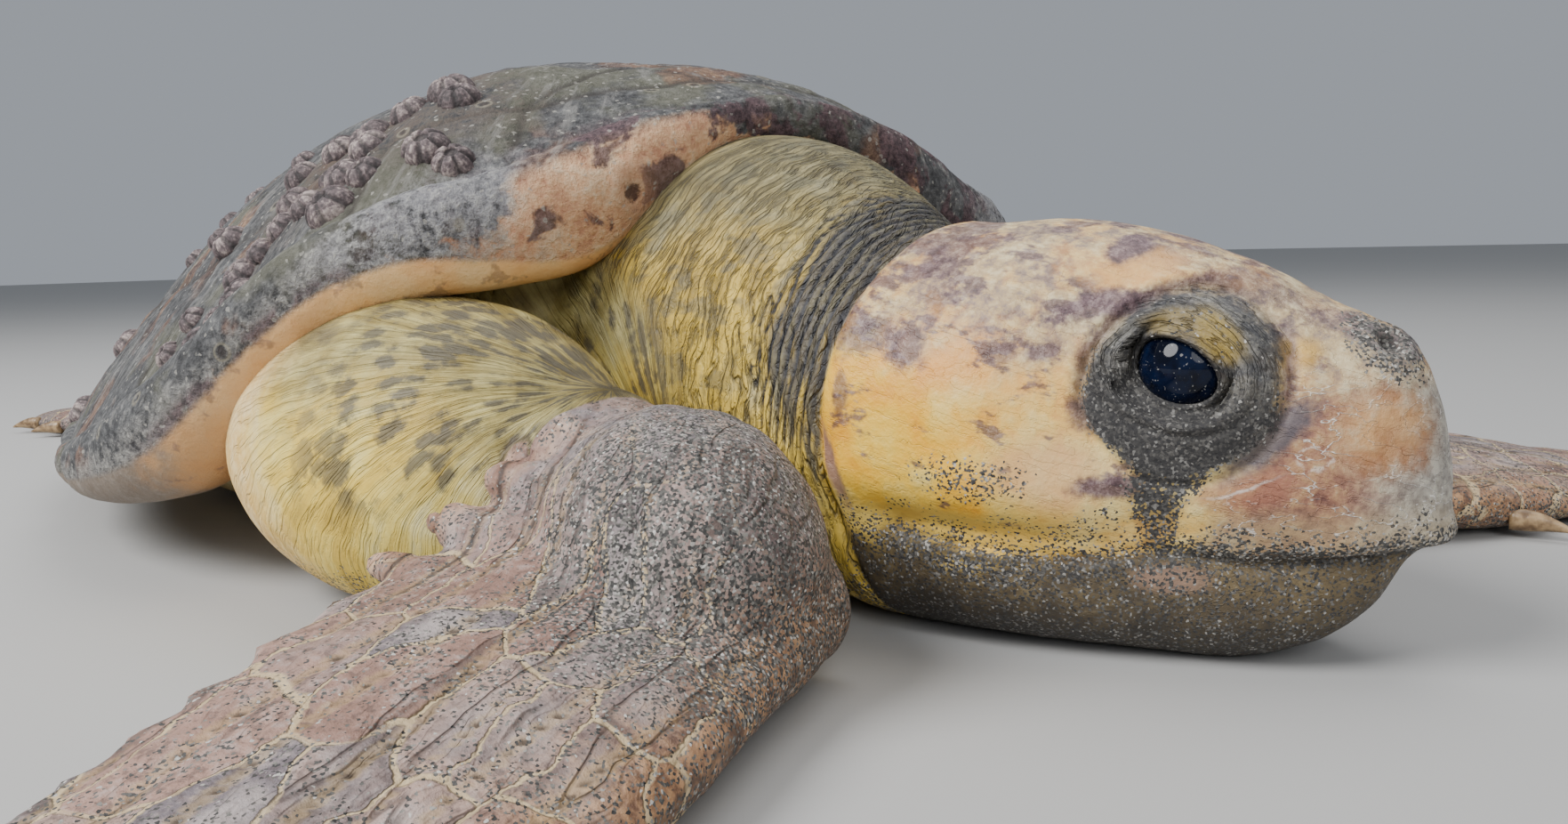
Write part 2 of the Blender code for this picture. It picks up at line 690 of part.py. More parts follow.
def eye_mesh(bm, side, grow=0.0):
    place = head_point(EYE_PLACE.x, side * EYE_PLACE.y, EYE_PLACE.z)
    bmesh.ops.create_uvsphere(
        bm, u_segments=12, v_segments=9, radius=EYE_RADIUS + grow, matrix=Matrix.Translation(place)
    )


# Distances from the middle line at which the limbs are parted from the trunk
ARMPIT_Y = 0.116
GROIN_Y = 0.095


def make_body():
    """The belly plate, eyes, claws and flesh, each fitted to the shell round it."""
    bm = bmesh.new()
    shell_mesh(bm, GAP)
    shell_space = make_object("shell_space", bm)
    bm = bmesh.new()
    plastron_mesh(bm)
    plastron = make_object("plastron", bm, "plastron")
    cut(plastron, shell_space)
    bm = bmesh.new()
    plastron_mesh(bm, GAP)
    belly_space = make_object("belly_space", bm)
    skin = make_skin()
    cut(skin, shell_space)
    cut(skin, belly_space)
    bm = bmesh.new()
    for side, name in ((-1, "right"), (1, "left")):
        eye_mesh(bm, side, GAP)
        ball = bmesh.new()
        eye_mesh(ball, side)
        make_object(f"eye_{name}", ball, "eye")
        for limb, (rows, places) in CLAW_PLACES.items():
            for number, along in enumerate(places, 1):
                claw_mesh(bm, rows, along, side, GAP)
                claw = bmesh.new()
                claw_mesh(claw, rows, along, side)
                make_object(f"claw_{limb}_{name}_{number}", claw, "claw")
    sockets = make_object("sockets", bm)
    cut(skin, sockets)
    drop(shell_space, belly_space, sockets)

    head_box = ((0.0, -0.118, -0.05), (0.40, 0.118, 0.30))
    head = part_off(
        skin,
        "head",
        "head_skin",
        lambda bm, grow: box_mesh(bm, *head_box, turn=HEAD_TURN, pivot=HEAD_REAR, grow=grow),
    )
    part_off(head, "lower_jaw", "jaw", jaw_region)
    for side, name in ((-1, "right"), (1, "left")):
        part_off(skin, f"fore_flipper_{name}", "flipper_skin", limb_box(0.535, 0.90, ARMPIT_Y, side))
        part_off(skin, f"upper_arm_{name}", "skin", limb_box(0.25, 0.60, ARMPIT_Y, side))
        part_off(skin, f"hind_flipper_{name}", "flipper_skin", limb_box(-0.80, -0.375, GROIN_Y, side))
        part_off(skin, f"thigh_{name}", "skin", limb_box(-0.40, -0.24, GROIN_Y, side))
    for name, low, high in (
        ("neck", (0.33, -0.3, -0.05), (0.75, 0.3, 0.4)),
        ("tail", (-0.80, -0.2, -0.05), (-0.36, 0.2, 0.4)),
    ):
        part_off(skin, name, "skin", lambda bm, grow: box_mesh(bm, low, high, grow=grow))
    skin.name = "trunk"
    keep_largest(skin)
    dress(skin, "skin")


def settle_origin():
    """Moves every mesh so that the origin is below the middle of the whole body's box."""
    points = np.array([v.co for obj in bpy.data.objects for v in obj.data.vertices])
    middle = (points.min(0) + points.max(0)) / 2
    for obj in bpy.data.objects:
        obj.data.transform(Matrix.Translation((-middle[0], -middle[1], 0.0)))


# ---------------------------------------------------------------- build
for old in list(bpy.data.objects):
    bpy.data.objects.remove(old)
make_carapace()
make_body()
settle_origin()
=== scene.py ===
"""The looks of a life-size loggerhead sea turtle model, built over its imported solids.

Metres, +Z up, the head towards +X. Run inside Blender.
"""

from math import cos, pi, radians, sin

import bmesh
import bpy
import numpy as np
from mathutils import Matrix, Vector


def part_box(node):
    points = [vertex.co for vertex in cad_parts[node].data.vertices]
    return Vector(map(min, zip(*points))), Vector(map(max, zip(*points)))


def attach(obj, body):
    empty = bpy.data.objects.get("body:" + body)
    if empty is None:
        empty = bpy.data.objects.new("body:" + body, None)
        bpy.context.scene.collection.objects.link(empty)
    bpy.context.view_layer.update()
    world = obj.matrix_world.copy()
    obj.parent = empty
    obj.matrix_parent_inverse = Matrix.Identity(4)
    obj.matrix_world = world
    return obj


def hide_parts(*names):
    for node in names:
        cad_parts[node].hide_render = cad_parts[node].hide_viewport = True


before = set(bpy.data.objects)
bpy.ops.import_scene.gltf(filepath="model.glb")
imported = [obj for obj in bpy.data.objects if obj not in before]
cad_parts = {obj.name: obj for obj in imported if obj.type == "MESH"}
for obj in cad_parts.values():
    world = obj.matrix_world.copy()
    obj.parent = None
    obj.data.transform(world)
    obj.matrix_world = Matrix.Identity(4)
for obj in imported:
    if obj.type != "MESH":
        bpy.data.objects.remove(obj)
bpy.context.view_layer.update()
belly_low, belly_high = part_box("plastron")
# The turtle's own axes start on the floor near the middle of its shell
BODY = np.array([(belly_low[0] + belly_high[0]) / 2 + 0.015, (belly_low[1] + belly_high[1]) / 2, 0.0])


# ------------------------------------------------------------------ carapace
# The domed upper shell: horn plates grown together over bone, with a thick rolled rim that arches
# over the neck. It is laid out round the spine, from the nape at 0 degrees by the left side.
SHELL_LENGTH = 0.9
SHELL_WIDTH = 0.7
SHELL_THICKNESS = 0.011
SPINE_HALF = 0.24
RIM_SEAM = 0.8
RIM_ROLL = 0.42
RIM_HEIGHT = [
    (0, 0.268), (6, 0.251), (11, 0.230), (16, 0.206), (21, 0.190), (28, 0.176), (34, 0.160), (40, 0.133),
    (46, 0.106), (53, 0.079), (62, 0.063), (85, 0.056), (120, 0.058), (150, 0.062), (180, 0.068),
]
RIM_LOW = [
    (0, 0.244), (3, 0.240), (6, 0.220), (9, 0.196), (13, 0.174), (20, 0.163), (28, 0.156), (33, 0.142),
    (38, 0.116), (43, 0.084), (48, 0.058), (58, 0.042), (85, 0.036), (120, 0.038), (150, 0.042), (180, 0.047),
]
CREST_HEIGHT = [
    (-0.45, 0.085), (-0.32, 0.150), (-0.15, 0.238), (0.02, 0.290), (0.16, 0.307),
    (0.28, 0.306), (0.36, 0.294), (0.41, 0.280), (0.46, 0.266),
]
SEAM_X = [0.345, 0.195, 0.025, -0.145, -0.275, -0.37]
SEAM_HALF = [0.052, 0.062, 0.066, 0.062, 0.05, 0.04]
MIDDLE_HALF = [0.108, 0.122, 0.118, 0.102, 0.085]
COSTAL_EDGES = [21, 49, 79, 108, 134, 157]
RIM_EDGES = np.linspace(21, 180, 13)
PIT = np.array([0.437, -0.11, 0.214])


def track(knots, at):
    """A smooth line through (place, value) knots, read at one place or at an array of them."""
    place = np.array([k[0] for k in knots], float)
    value = np.array([k[1] for k in knots], float)
    rise = np.diff(value) / np.diff(place)
    slope = np.concatenate([rise[:1], (rise[1:] + rise[:-1]) / 2, rise[-1:]])
    turning = np.concatenate([[False], rise[1:] * rise[:-1] <= 0, [False]])
    slope[turning] = 0.0
    at = np.clip(at, place[0], place[-1])
    i = np.clip(np.searchsorted(place, at) - 1, 0, len(place) - 2)
    step = place[i + 1] - place[i]
    u = (at - place[i]) / step
    return (
        (2 * u**3 - 3 * u**2 + 1) * value[i]
        + (u**3 - 2 * u**2 + u) * step * slope[i]
        + (3 * u**2 - 2 * u**3) * value[i + 1]
        + (u**3 - u**2) * step * slope[i + 1]
    )


def power(x, n):
    """x to the power n, keeping its sign."""
    return np.sign(x) * np.abs(x) ** n


def smooth(x, low, high):
    """0 below low, 1 above high and an even rise between."""
    t = np.clip((x - low) / (high - low), 0, 1)
    return t * t * (3 - 2 * t)


def fade(x, low, high):
    """1 below low, 0 above high."""
    return 1 - smooth(x, low, high)


def bell(x, width):
    return np.exp(-((x / width) ** 2))


def lumps(points, size, seed=0):
    """Smooth noise between -1 and 1 whose lumps are about size metres across."""
    place = points / size + 13.7 * seed + 200.0
    cell = np.floor(place).astype(np.int64)
    part = place - cell
    part = part * part * (3 - 2 * part)
    total = np.zeros(len(points))
    for corner in np.ndindex(2, 2, 2):
        at = cell + np.array(corner)
        mixed = (at[:, 0] * 73856093) ^ (at[:, 1] * 19349663) ^ (at[:, 2] * 83492791) ^ (seed * 2654435)
        mixed = ((mixed ^ (mixed >> 13)) * 1274126177) & 0x7FFFFFFF
        value = ((mixed >> 7) & 0xFFFF) / 32767.5 - 1
        share = np.prod(np.where(np.array(corner) == 1, part, 1 - part), axis=1)
        total += value * share
    return total


def quads(index, flipped=False):
    """Faces between the rows of a grid whose columns close round on themselves."""
    low, high = index[:-1], index[1:]
    corners = [low, high, np.roll(high, -1, 1), np.roll(low, -1, 1)]
    return np.stack(corners[:1] + corners[:0:-1] if flipped else corners, -1).reshape(-1, 4)


def vertex_normals(points, faces):
    """Area-weighted normals at the points of a mesh of quads or triangles."""
    cross = np.cross(points[faces[:, 2]] - points[faces[:, 0]], points[faces[:, -1]] - points[faces[:, 1]])
    normals = np.zeros_like(points)
    for column in faces.T:
        np.add.at(normals, column, cross)
    return normals / np.maximum(np.linalg.norm(normals, axis=1, keepdims=True), 1e-12)


def mesh_object(name, points, faces, notes=None):
    """An object of a smooth mesh in the turtle's own axes; notes are its named vertex values."""
    mesh = bpy.data.meshes.new(name)
    mesh.from_pydata((points + BODY).tolist(), [], faces if isinstance(faces, list) else faces.tolist())
    for key, values in (notes or {}).items():
        kind = "FLOAT_VECTOR" if values.ndim == 2 else "FLOAT"
        layer = mesh.attributes.new(key, kind, "POINT")
        layer.data.foreach_set("vector" if values.ndim == 2 else "value", values.ravel())
    mesh.shade_smooth()
    obj = bpy.data.objects.new(name, mesh)
    bpy.context.collection.objects.link(obj)
    return obj


def folded_of(theta):
    """Degrees from the nape, the same on both sides."""
    return np.degrees(np.abs((theta + pi) % (2 * pi) - pi))


def shell_outline(theta):
    """Plan of the shell's edge."""
    c, s = np.cos(theta), np.sin(theta)
    x = SHELL_LENGTH / 2 * c
    y = SHELL_WIDTH / 2 * power(s, 0.8) * (1 + 0.22 * c) / 1.03
    folded = (theta + pi) % (2 * pi) - pi
    return x - 0.01 * bell(folded, radians(15)), y


def shell_surface(theta, rho):
    """The shell's upper face, rho from 0 on the spine to 1 at the edge."""
    folded = folded_of(theta)
    edge_x, edge_y = shell_outline(theta)
    rim = track(RIM_HEIGHT, folded)
    inset = 1 - RIM_ROLL * (rim - track(RIM_LOW, folded)) / np.hypot(edge_x, edge_y)
    spine_x = SPINE_HALF * np.cos(theta) + 0.02
    x = spine_x + (edge_x * inset - spine_x) * rho
    y = edge_y * inset * rho
    z = rim + (track(CREST_HEIGHT, spine_x) - rim) * (1 - rho**2.4)
    along = (1 - np.abs(np.sin(theta))) ** 0.7
    z = z + (track(CREST_HEIGHT, x) - z) * along * (1 - 0.5 * rho)
    return np.stack([x, y, np.maximum(z, rim)], -1)


def seam_point(degrees):
    theta = radians(degrees)
    return shell_surface(np.array([theta]), RIM_SEAM + 0.012 * sin(12 * theta))[0, :2]


def seam_distance(plan):
    """Distance in plan from each point to the nearest seam between two plates."""
    ends = list(zip(SEAM_X, SEAM_HALF))
    middles = [((SEAM_X[i] + SEAM_X[i + 1]) / 2, half) for i, half in enumerate(MIDDLE_HALF)]
    zigzag = [ends[0]] + [point for pair in zip(middles, ends[1:]) for point in pair]
    lines = [zigzag, [seam_point(a) for a in np.linspace(0, 180, 61)]]
    lines += [[(x, 0.0), (x, half)] for x, half in ends[1:-1]]
    lines.append([(SEAM_X[0] + 0.018, 0.0), ends[0], seam_point(COSTAL_EDGES[0])])
    lines += [[middles[i], seam_point(COSTAL_EDGES[i + 1])] for i in range(4)]
    for degrees in RIM_EDGES:
        outer = shell_surface(np.array([radians(degrees)]), 1.0)[0, :2]
        lines.append([seam_point(degrees), outer * 1.1])
    folded = np.stack([plan[:, 0], np.abs(plan[:, 1])], 1)
    nearest = np.full(len(plan), 1.0)
    for line in lines:
        for start, end in zip(np.array(line)[:-1], np.array(line)[1:]):
            run = end - start
            share = np.clip((folded - start) @ run / max(run @ run, 1e-9), 0, 1)
            nearest = np.minimum(nearest, np.linalg.norm(folded - start - share[:, None] * run, axis=1))
    return nearest


def make_carapace(around=640, rows=96, lip_rows=14):
    even = np.linspace(0, 2 * pi, around, endpoint=False)
    turn = even - 0.5 * np.sin(even)
    shares = np.linspace(0, 1, rows + 1)
    rings = [shell_surface(turn, share) for share in shares]
    edge = rings[-1]
    out = np.stack([edge[:, 0] - rings[-3][:, 0], edge[:, 1] - rings[-3][:, 1], np.zeros(around)], 1)
    out /= np.linalg.norm(out, axis=1, keepdims=True)
    drop = (edge[:, 2] - track(RIM_LOW, folded_of(turn)))[:, None]
    roll = np.linspace(0, pi * 0.94, lip_rows + 1)[1:]
    down = np.array([0, 0, -1.0])
    for angle in roll:
        rings.append(edge + down * drop * (1 - cos(angle)) / 2 + out * drop * RIM_ROLL * sin(angle) ** 0.8)
    rings.append(edge + down * drop * 0.99 - out * 0.008)
    for share in (0.9, 0.6, 0.3, 0.0):
        rings.append(shell_surface(turn, share) + down * (SHELL_THICKNESS + 0.002))
    points = np.concatenate(rings)
    edge_note = [np.full(around, share) for share in shares]
    edge_note += [np.full(around, 1 + k / lip_rows) for k in range(1, lip_rows + 1)]
    edge_note += [np.full(around, 2.2)] * 5
    index = np.arange(len(points)).reshape(-1, around)
    fold = np.minimum(np.arange(around), around - np.arange(around))
    index[[0, -1]] = index[[0, -1]][:, fold]
    faces = quads(index)
    normals = vertex_normals(points, faces)
    level = np.concatenate(edge_note)
    folded = folded_of(np.tile(turn, len(rings)))
    upper = fade(level, 1.0, 1.5)
    far = seam_distance(points[:, :2] + 0.003 * np.stack([lumps(points, 0.03, 5), lumps(points, 0.03, 6)], 1))
    nape = bell(points[:, 0] - 0.44, 0.1) * bell(points[:, 1], 0.22)
    seam = bell(far, 0.003)
    height = -0.0013 * seam * (1 - 0.75 * nape) + 0.0016 * (1 - np.exp(-far / 0.02)) * (1 - nape)
    height += 0.0022 * bell(points[:, 1], 0.012) * smooth(-points[:, 0], -0.2, 0.1)
    height += 0.0022 * lumps(points, 0.07, 1) + 0.001 * lumps(points, 0.025, 2)
    height += 0.0008 * lumps(points, 0.009, 3)
    pit = np.linalg.norm(points - PIT, axis=1)
    lip = smooth(level, 0.95, 1.2) * fade(level, 1.6, 2.0)
    notch = np.min([np.abs(folded - a) for a in RIM_EDGES], axis=0)
    height += lip * (0.001 * lumps(points, 0.018, 8) - 0.003 * bell(notch, 1.1) * smooth(folded, 45, 70))
    height = height * np.maximum(upper, lip) - 0.0055 * bell(pit, 0.0048) + 0.0018 * bell(pit - 0.0105, 0.004)
    points = points + normals * height[:, None]
    notes = {"edge": level, "seam": seam * upper, "round": folded * np.sign(points[:, 1])}
    return mesh_object("carapace", points, faces, notes), points, normals, level


carapace, carapace_points, carapace_normals, carapace_levels = make_carapace()


class Value:
    """A shader socket that takes part in sums as a number does."""

    def __init__(self, finish, socket):
        self.finish, self.socket = finish, socket

    def sum(self, operation, first, second=None):
        return self.finish.node("ShaderNodeMath", {"operation": operation}, {0: first, 1: second})

    def __add__(self, other):
        return self.sum("ADD", self, other)

    def __sub__(self, other):
        return self.sum("SUBTRACT", self, other)

    def __mul__(self, other):
        return self.sum("MULTIPLY", self, other)

    def __truediv__(self, other):
        return self.sum("DIVIDE", self, other)

    def __rsub__(self, other):
        return self.sum("SUBTRACT", other, self)

    __radd__ = __add__
    __rmul__ = __mul__


class Finish:
    """A material being put together, node by node."""

    def __init__(self, name, rough):
        self.material = bpy.data.materials.new(name)
        self.material.use_nodes = True
        self.nodes = self.material.node_tree.nodes
        self.links = self.material.node_tree.links
        self.surface = self.nodes["Principled BSDF"]
        self.surface.inputs["Roughness"].default_value = rough
        self.at = self.node("ShaderNodeTexCoord", {}, {}, "Object")

    def node(self, kind, settings, sockets, output=0):
        made = self.nodes.new(kind)
        for key, value in settings.items():
            if key == "stops":
                elements = made.color_ramp.elements
                while len(elements) < len(value):
                    elements.new(0.5)
                for element, (place, *colour) in zip(elements, value):
                    element.position, element.color = place, (*colour, 1.0)
            else:
                setattr(made, key, value)
        for key, value in sockets.items():
            if value is not None:
                self.join(made.inputs[key], value)
        return Value(self, made.outputs[output])

    def join(self, socket, value):
        if isinstance(value, Value):
            self.links.new(value.socket, socket)
        elif isinstance(value, tuple) and len(value) == 3 and socket.type == "RGBA":
            socket.default_value = (*value, 1.0)
        else:
            socket.default_value = value

    def note(self, name):
        return self.node("ShaderNodeAttribute", {"attribute_name": name}, {}, "Fac")

    def done(self, colour, height, rough=None):
        """Joins the colour and a height in millimetres to the surface."""
        self.join(self.surface.inputs["Base Color"], colour)
        if rough is not None:
            self.join(self.surface.inputs["Roughness"], rough)
        bump = self.node("ShaderNodeBump", {}, {"Strength": 1.0, "Distance": 0.001, "Height": height})
        self.join(self.surface.inputs["Normal"], bump)


def part(vector, axis):
    return vector.finish.node("ShaderNodeSeparateXYZ", {}, {0: vector}, axis)


def noise(vector, scale, detail=3.0, rough=0.55, bend=0.0):
    sockets = {"Vector": vector, "Scale": scale, "Detail": detail, "Roughness": rough, "Distortion": bend}
    return vector.finish.node("ShaderNodeTexNoise", {}, sockets)


def cells(vector, scale, feature="F1", output="Distance", random=1.0, sort="3D"):
    settings = {"feature": feature, "voronoi_dimensions": sort}
    sockets = {"Vector": vector, "Scale": scale, "Randomness": random}
    return vector.finish.node("ShaderNodeTexVoronoi", settings, sockets, output)


def rise(value, low, high):
    """0 below low, 1 above high and an even rise between."""
    return value.finish.node(
        "ShaderNodeMapRange", {"interpolation_type": "SMOOTHSTEP"}, {0: value, 1: low, 2: high}
    )


def fall(value, low, high):
    """1 below low, 0 above high."""
    return 1 - rise(value, low, high)


def far(value):
    return value.sum("ABSOLUTE", value)


def near(value, centre, width):
    """1 where the value is at its centre, falling to 0 a width away."""
    return 1 - rise(far(value - centre), 0.0, width)


def most(first, second):
    return first.sum("MAXIMUM", first, second)


def pack(first, second, third=0.0):
    return first.finish.node("ShaderNodeCombineXYZ", {}, {0: first, 1: second, 2: third})


def vector_sum(operation, first, second=None, output="Value"):
    return first.finish.node("ShaderNodeVectorMath", {"operation": operation}, {0: first, 1: second}, output)


def ramp(value, *stops):
    """A colour ramp; each stop is a place and its red, green and blue."""
    return value.finish.node("ShaderNodeValToRGB", {"stops": stops}, {0: value})


def mix(share, first, second):
    finish = next(value.finish for value in (share, first, second) if isinstance(value, Value))
    return finish.node("ShaderNodeMix", {"data_type": "RGBA"}, {0: share, 6: first, 7: second}, 2)


def paint(colour, *coats):
    """Lays coats of (share, colour) over a colour in turn."""
    for share, coat in coats:
        colour = mix(share, colour, coat)
    return colour


def ball(at, centre, radius, wobble=None):
    """1 inside a ball given in the turtle's axes, fading out over its rim."""
    offset = vector_sum("DISTANCE", at, tuple(np.array(centre) + BODY))
    if wobble is not None:
        offset = offset + wobble
    return 1 - rise(offset, radius * 0.55, radius)


horn = Finish("weathered horn", 0.78)
at = horn.at
edge, seam, turned = horn.note("edge"), horn.note("seam"), horn.note("round")
broad, middling, fine = noise(at, 9, 3), noise(at, 42, 4, 0.6), noise(at, 210, 5, 0.7)
drift, sway, jitter = broad - 0.5, middling - 0.5, fine - 0.5
mottle = middling * 0.5 + fine * 0.5
speck = noise(at, 800, 2, 0.6)
down = noise(pack(turned * 0.55, edge * 5.0), 1.0, 4, 0.65)
apart = far(turned)
front = fall(apart + sway * 12, 46, 54)
ragged = sway * 0.22 + jitter * 0.1

# Silt and fine growth over brown horn, dark seams and a crowd of small growths at the right front
silt = ramp(
    middling * 0.35 + fine * 0.65, (0.36, 0.02, 0.02, 0.021), (0.47, 0.062, 0.062, 0.064),
    (0.56, 0.115, 0.115, 0.115), (0.68, 0.25, 0.25, 0.24),
)
moss = rise(noise(at, 13, 4, 0.6), 0.5, 0.62)
colour = mix(moss * 0.55, silt, mix(fine, (0.06, 0.062, 0.035), (0.21, 0.2, 0.13)))
bare = rise(noise(at, 20, 4, 0.6) + drift * 0.5, 0.53, 0.62)
rusty = ramp(mottle, (0.38, 0.06, 0.026, 0.02), (0.5, 0.17, 0.075, 0.042), (0.64, 0.38, 0.2, 0.09))
colour = paint(
    colour,
    (bare * rise(broad, 0.4, 0.6) * 0.62, rusty),
    (rise(down, 0.54, 0.66) * 0.4, (0.3, 0.29, 0.27)),
    (seam * 0.75, (0.03, 0.024, 0.02)),
)
growth = ball(at, (0.315, -0.205, 0.245), 0.12, sway * 0.1) * fall(edge, 0.8, 1.0)
colour = mix(
    growth * rise(fine * 0.6 + middling * 0.4, 0.42, 0.54) * 0.8, colour,
    mix(speck, (0.03, 0.021, 0.015), (0.155, 0.12, 0.095)),
)

# Bare salmon horn with purple blotches, round the front of the rim
start = 1.9 - rise(apart, 9, 27) * 0.27 + sway * 0.08
over_arch = near(turned, -12.5, 15.0)
bared = rise(over_arch + (noise(at, 34, 4, 0.6) - 0.5) * 2.2 + (edge - 1.4) * 1.1, 0.42, 0.62)
bared = bared * rise(edge + ragged, 1.18, 1.36)
salmon = ramp(mottle, (0.38, 0.56, 0.27, 0.155), (0.5, 0.76, 0.45, 0.25), (0.62, 0.84, 0.62, 0.4))
purple = ramp(fine, (0.38, 0.035, 0.017, 0.022), (0.62, 0.15, 0.085, 0.095))
colour = mix(bared * 0.92, colour, salmon)
blotch = rise(noise(at, 38, 4, 0.6, 0.5) - bared * 0.04, 0.485, 0.575)
near_front = fall(apart, 22, 34)
colour = mix(blotch * near_front * rise(edge, 0.9, 1.1) * 0.85, colour, purple)

# Chalky crust in a band above the lip, lower down towards the sides
crust = rise(edge + ragged - rise(apart, 27, 37) * 0.5, 0.9, 1.12) * rise(apart + sway * 14, 15, 24)
crust = crust * rise(fine * 0.6 + middling * 0.4, 0.38, 0.52)
chalk = ramp(
    fine * 0.7 + speck * 0.3, (0.36, 0.105, 0.105, 0.12), (0.47, 0.21, 0.21, 0.23),
    (0.56, 0.34, 0.335, 0.33), (0.66, 0.52, 0.51, 0.48),
)
chalk = mix(0.25, chalk, mix(rise(apart, 26, 40), (0.56, 0.54, 0.54), (0.62, 0.56, 0.42)))
colour = mix(crust * (0.88 - rise(apart, 29, 42) * 0.2), colour, chalk)

# The lip's bare underside
below = edge - start + ragged * 0.35
lip = rise(below, -0.03, 0.03)
flesh_lip = ramp(
    middling * 0.4 + broad * 0.6, (0.38, 0.74, 0.36, 0.13), (0.5, 0.84, 0.51, 0.22),
    (0.62, 0.87, 0.61, 0.31),
)
flesh_lip = mix(rise(apart, 24, 50) * 0.75, flesh_lip, (0.42, 0.22, 0.085))
freckle = rise(noise(at, 70, 3, 0.6), 0.58, 0.66)
flesh_lip = mix(freckle * 0.45, flesh_lip, purple)
flesh_lip = mix(front, mix(0.45, silt, (0.34, 0.24, 0.15)), flesh_lip)
colour = paint(
    colour,
    (lip, flesh_lip),
    (near(below, -0.04, 0.09) * front * rise(middling, 0.42, 0.54) * rise(apart, 25, 34) * 0.8, purple),
)

# Healed pits with pale rims
pit_near = ball(at, PIT, 0.0085, jitter * 0.012)
ring = ball(at, PIT, 0.021, sway * 0.02) * (1 - pit_near)
colour = paint(colour, (ring * 0.5, (0.42, 0.22, 0.13)), (pit_near * 0.9, (0.06, 0.028, 0.022)))
pocks = cells(at, 24) + jitter * 0.06
plain_horn = (1 - lip) * (1 - bared)
colour = paint(
    colour,
    (near(pocks, 0.105, 0.035) * 0.45 * plain_horn, (0.36, 0.32, 0.23)),
    (fall(pocks, 0.05, 0.09) * 0.7 * plain_horn, (0.03, 0.022, 0.02)),
)
flecks = part(cells(at, 520, "F1", "Color"), 0)
colour = mix(rise(flecks, 0.97, 0.98) * 0.5 * (1 - lip), colour, (0.45, 0.43, 0.38))
height = jitter * 3.2 + (speck - 0.5) * 0.8 + sway * 2.2 + crust * (fine - 0.4) * 3.0 + (down - 0.5) * 1.2
horn.done(colour, height * (1 - lip * 0.8), 0.88 - lip * 0.34)
carapace.data.materials.append(horn.material)
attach(carapace, "root")
plates = ["nuchal"] + [f"vertebral_{i}" for i in range(1, 6)]
for side in ("left", "right"):
    plates += (
        [f"costal_{side}_{i}" for i in range(1, 6)]
        + [f"marginals_{side}_{k}" for k in ("front", "side", "rear")]
    )
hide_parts(*plates)


# ------------------------------------------------------------------ barnacles
# Turtle barnacles: squat six-sided cones of lime, rooted in the horn in crowded runs along the
# right front of the shell, with a few loose ones elsewhere.
COLONIES = [
    # x, y, spread along, spread across, count
    (0.374, -0.198, 0.014, 0.008, 5), (0.345, -0.222, 0.016, 0.010, 8), (0.305, -0.236, 0.018, 0.012, 10),
    (0.330, -0.165, 0.024, 0.010, 9), (0.286, -0.190, 0.020, 0.012, 8), (0.258, -0.222, 0.018, 0.014, 8),
    (0.277, -0.284, 0.012, 0.008, 5), (0.242, -0.301, 0.012, 0.008, 5), (0.285, -0.265, 0.004, 0.004, 1),
    (0.17, -0.25, 0.020, 0.020, 3), (-0.02, -0.19, 0.09, 0.05, 5), (-0.20, 0.12, 0.09, 0.08, 7),
    (0.24, 0.20, 0.05, 0.04, 5), (-0.30, -0.10, 0.05, 0.06, 4),
]


def one_barnacle(around=48):
    """One barnacle of unit radius, its foot at the origin: six ribbed plates round an opening."""
    turn = np.linspace(0, 2 * pi, around, endpoint=False)
    valley = np.abs(np.cos(3 * turn)) ** 14
    ribs = np.cos(24 * turn)
    rings, groove_shades = [], []
    for reach, up in (
        (1.06, -0.45), (1.02, 0.0), (0.97, 0.16), (0.88, 0.32), (0.76, 0.46), (0.62, 0.56), (0.5, 0.61),
        (0.42, 0.62), (0.36, 0.58), (0.31, 0.46), (0.22, 0.4), (0.08, 0.44),
    ):
        wall = 1.0 if reach > 0.4 else 0.0
        body = reach * (1 - wall * (0.13 * valley - 0.025 * ribs * reach))
        top = up - 0.12 * valley * wall * (up > 0)
        rings.append(np.stack([body * np.cos(turn), body * np.sin(turn), top], -1))
        groove_shades.append(np.clip(valley * wall + (reach < 0.33) + 0.35 * (ribs < -0.3) * wall, 0, 1))
    index = np.arange(len(rings) * around).reshape(-1, around)
    faces = quads(index, flipped=True).tolist() + [index[0][::-1].tolist(), index[-1].tolist()]
    return mesh_object(
        "one_barnacle", np.concatenate(rings) - BODY, faces, {"groove": np.concatenate(groove_shades)}
    )


def bake_modifiers(obj):
    mesh = bpy.data.meshes.new_from_object(obj.evaluated_get(bpy.context.evaluated_depsgraph_get()))
    obj.modifiers.clear()
    obj.data = mesh


def settle_on_shell():
    """Points of the shell's face under each barnacle, with its normal, size and turn."""
    chance = np.random.default_rng(7)
    upper = carapace_levels < 0.99
    points, normals = carapace_points[upper], carapace_normals[upper]
    made = []
    for x, y, along, across, count in COLONIES:
        for _ in range(count):
            shift = chance.normal(size=2) * (along, across)
            slope = np.array([[0.8, 0.6], [-0.6, 0.8]]) if y < 0 else np.array([[0.8, -0.6], [0.6, 0.8]])
            spot = np.argmin(np.linalg.norm(points[:, :2] - (x, y) - shift @ slope, axis=1))
            size = chance.uniform(0.0085, 0.0145)
            if all(np.linalg.norm(points[spot] - other[0]) > 0.8 * (size + other[2]) for other in made):
                made.append((points[spot], normals[spot], size, chance.uniform(0, 2 * pi)))
    return [np.array(values) for values in zip(*made)]


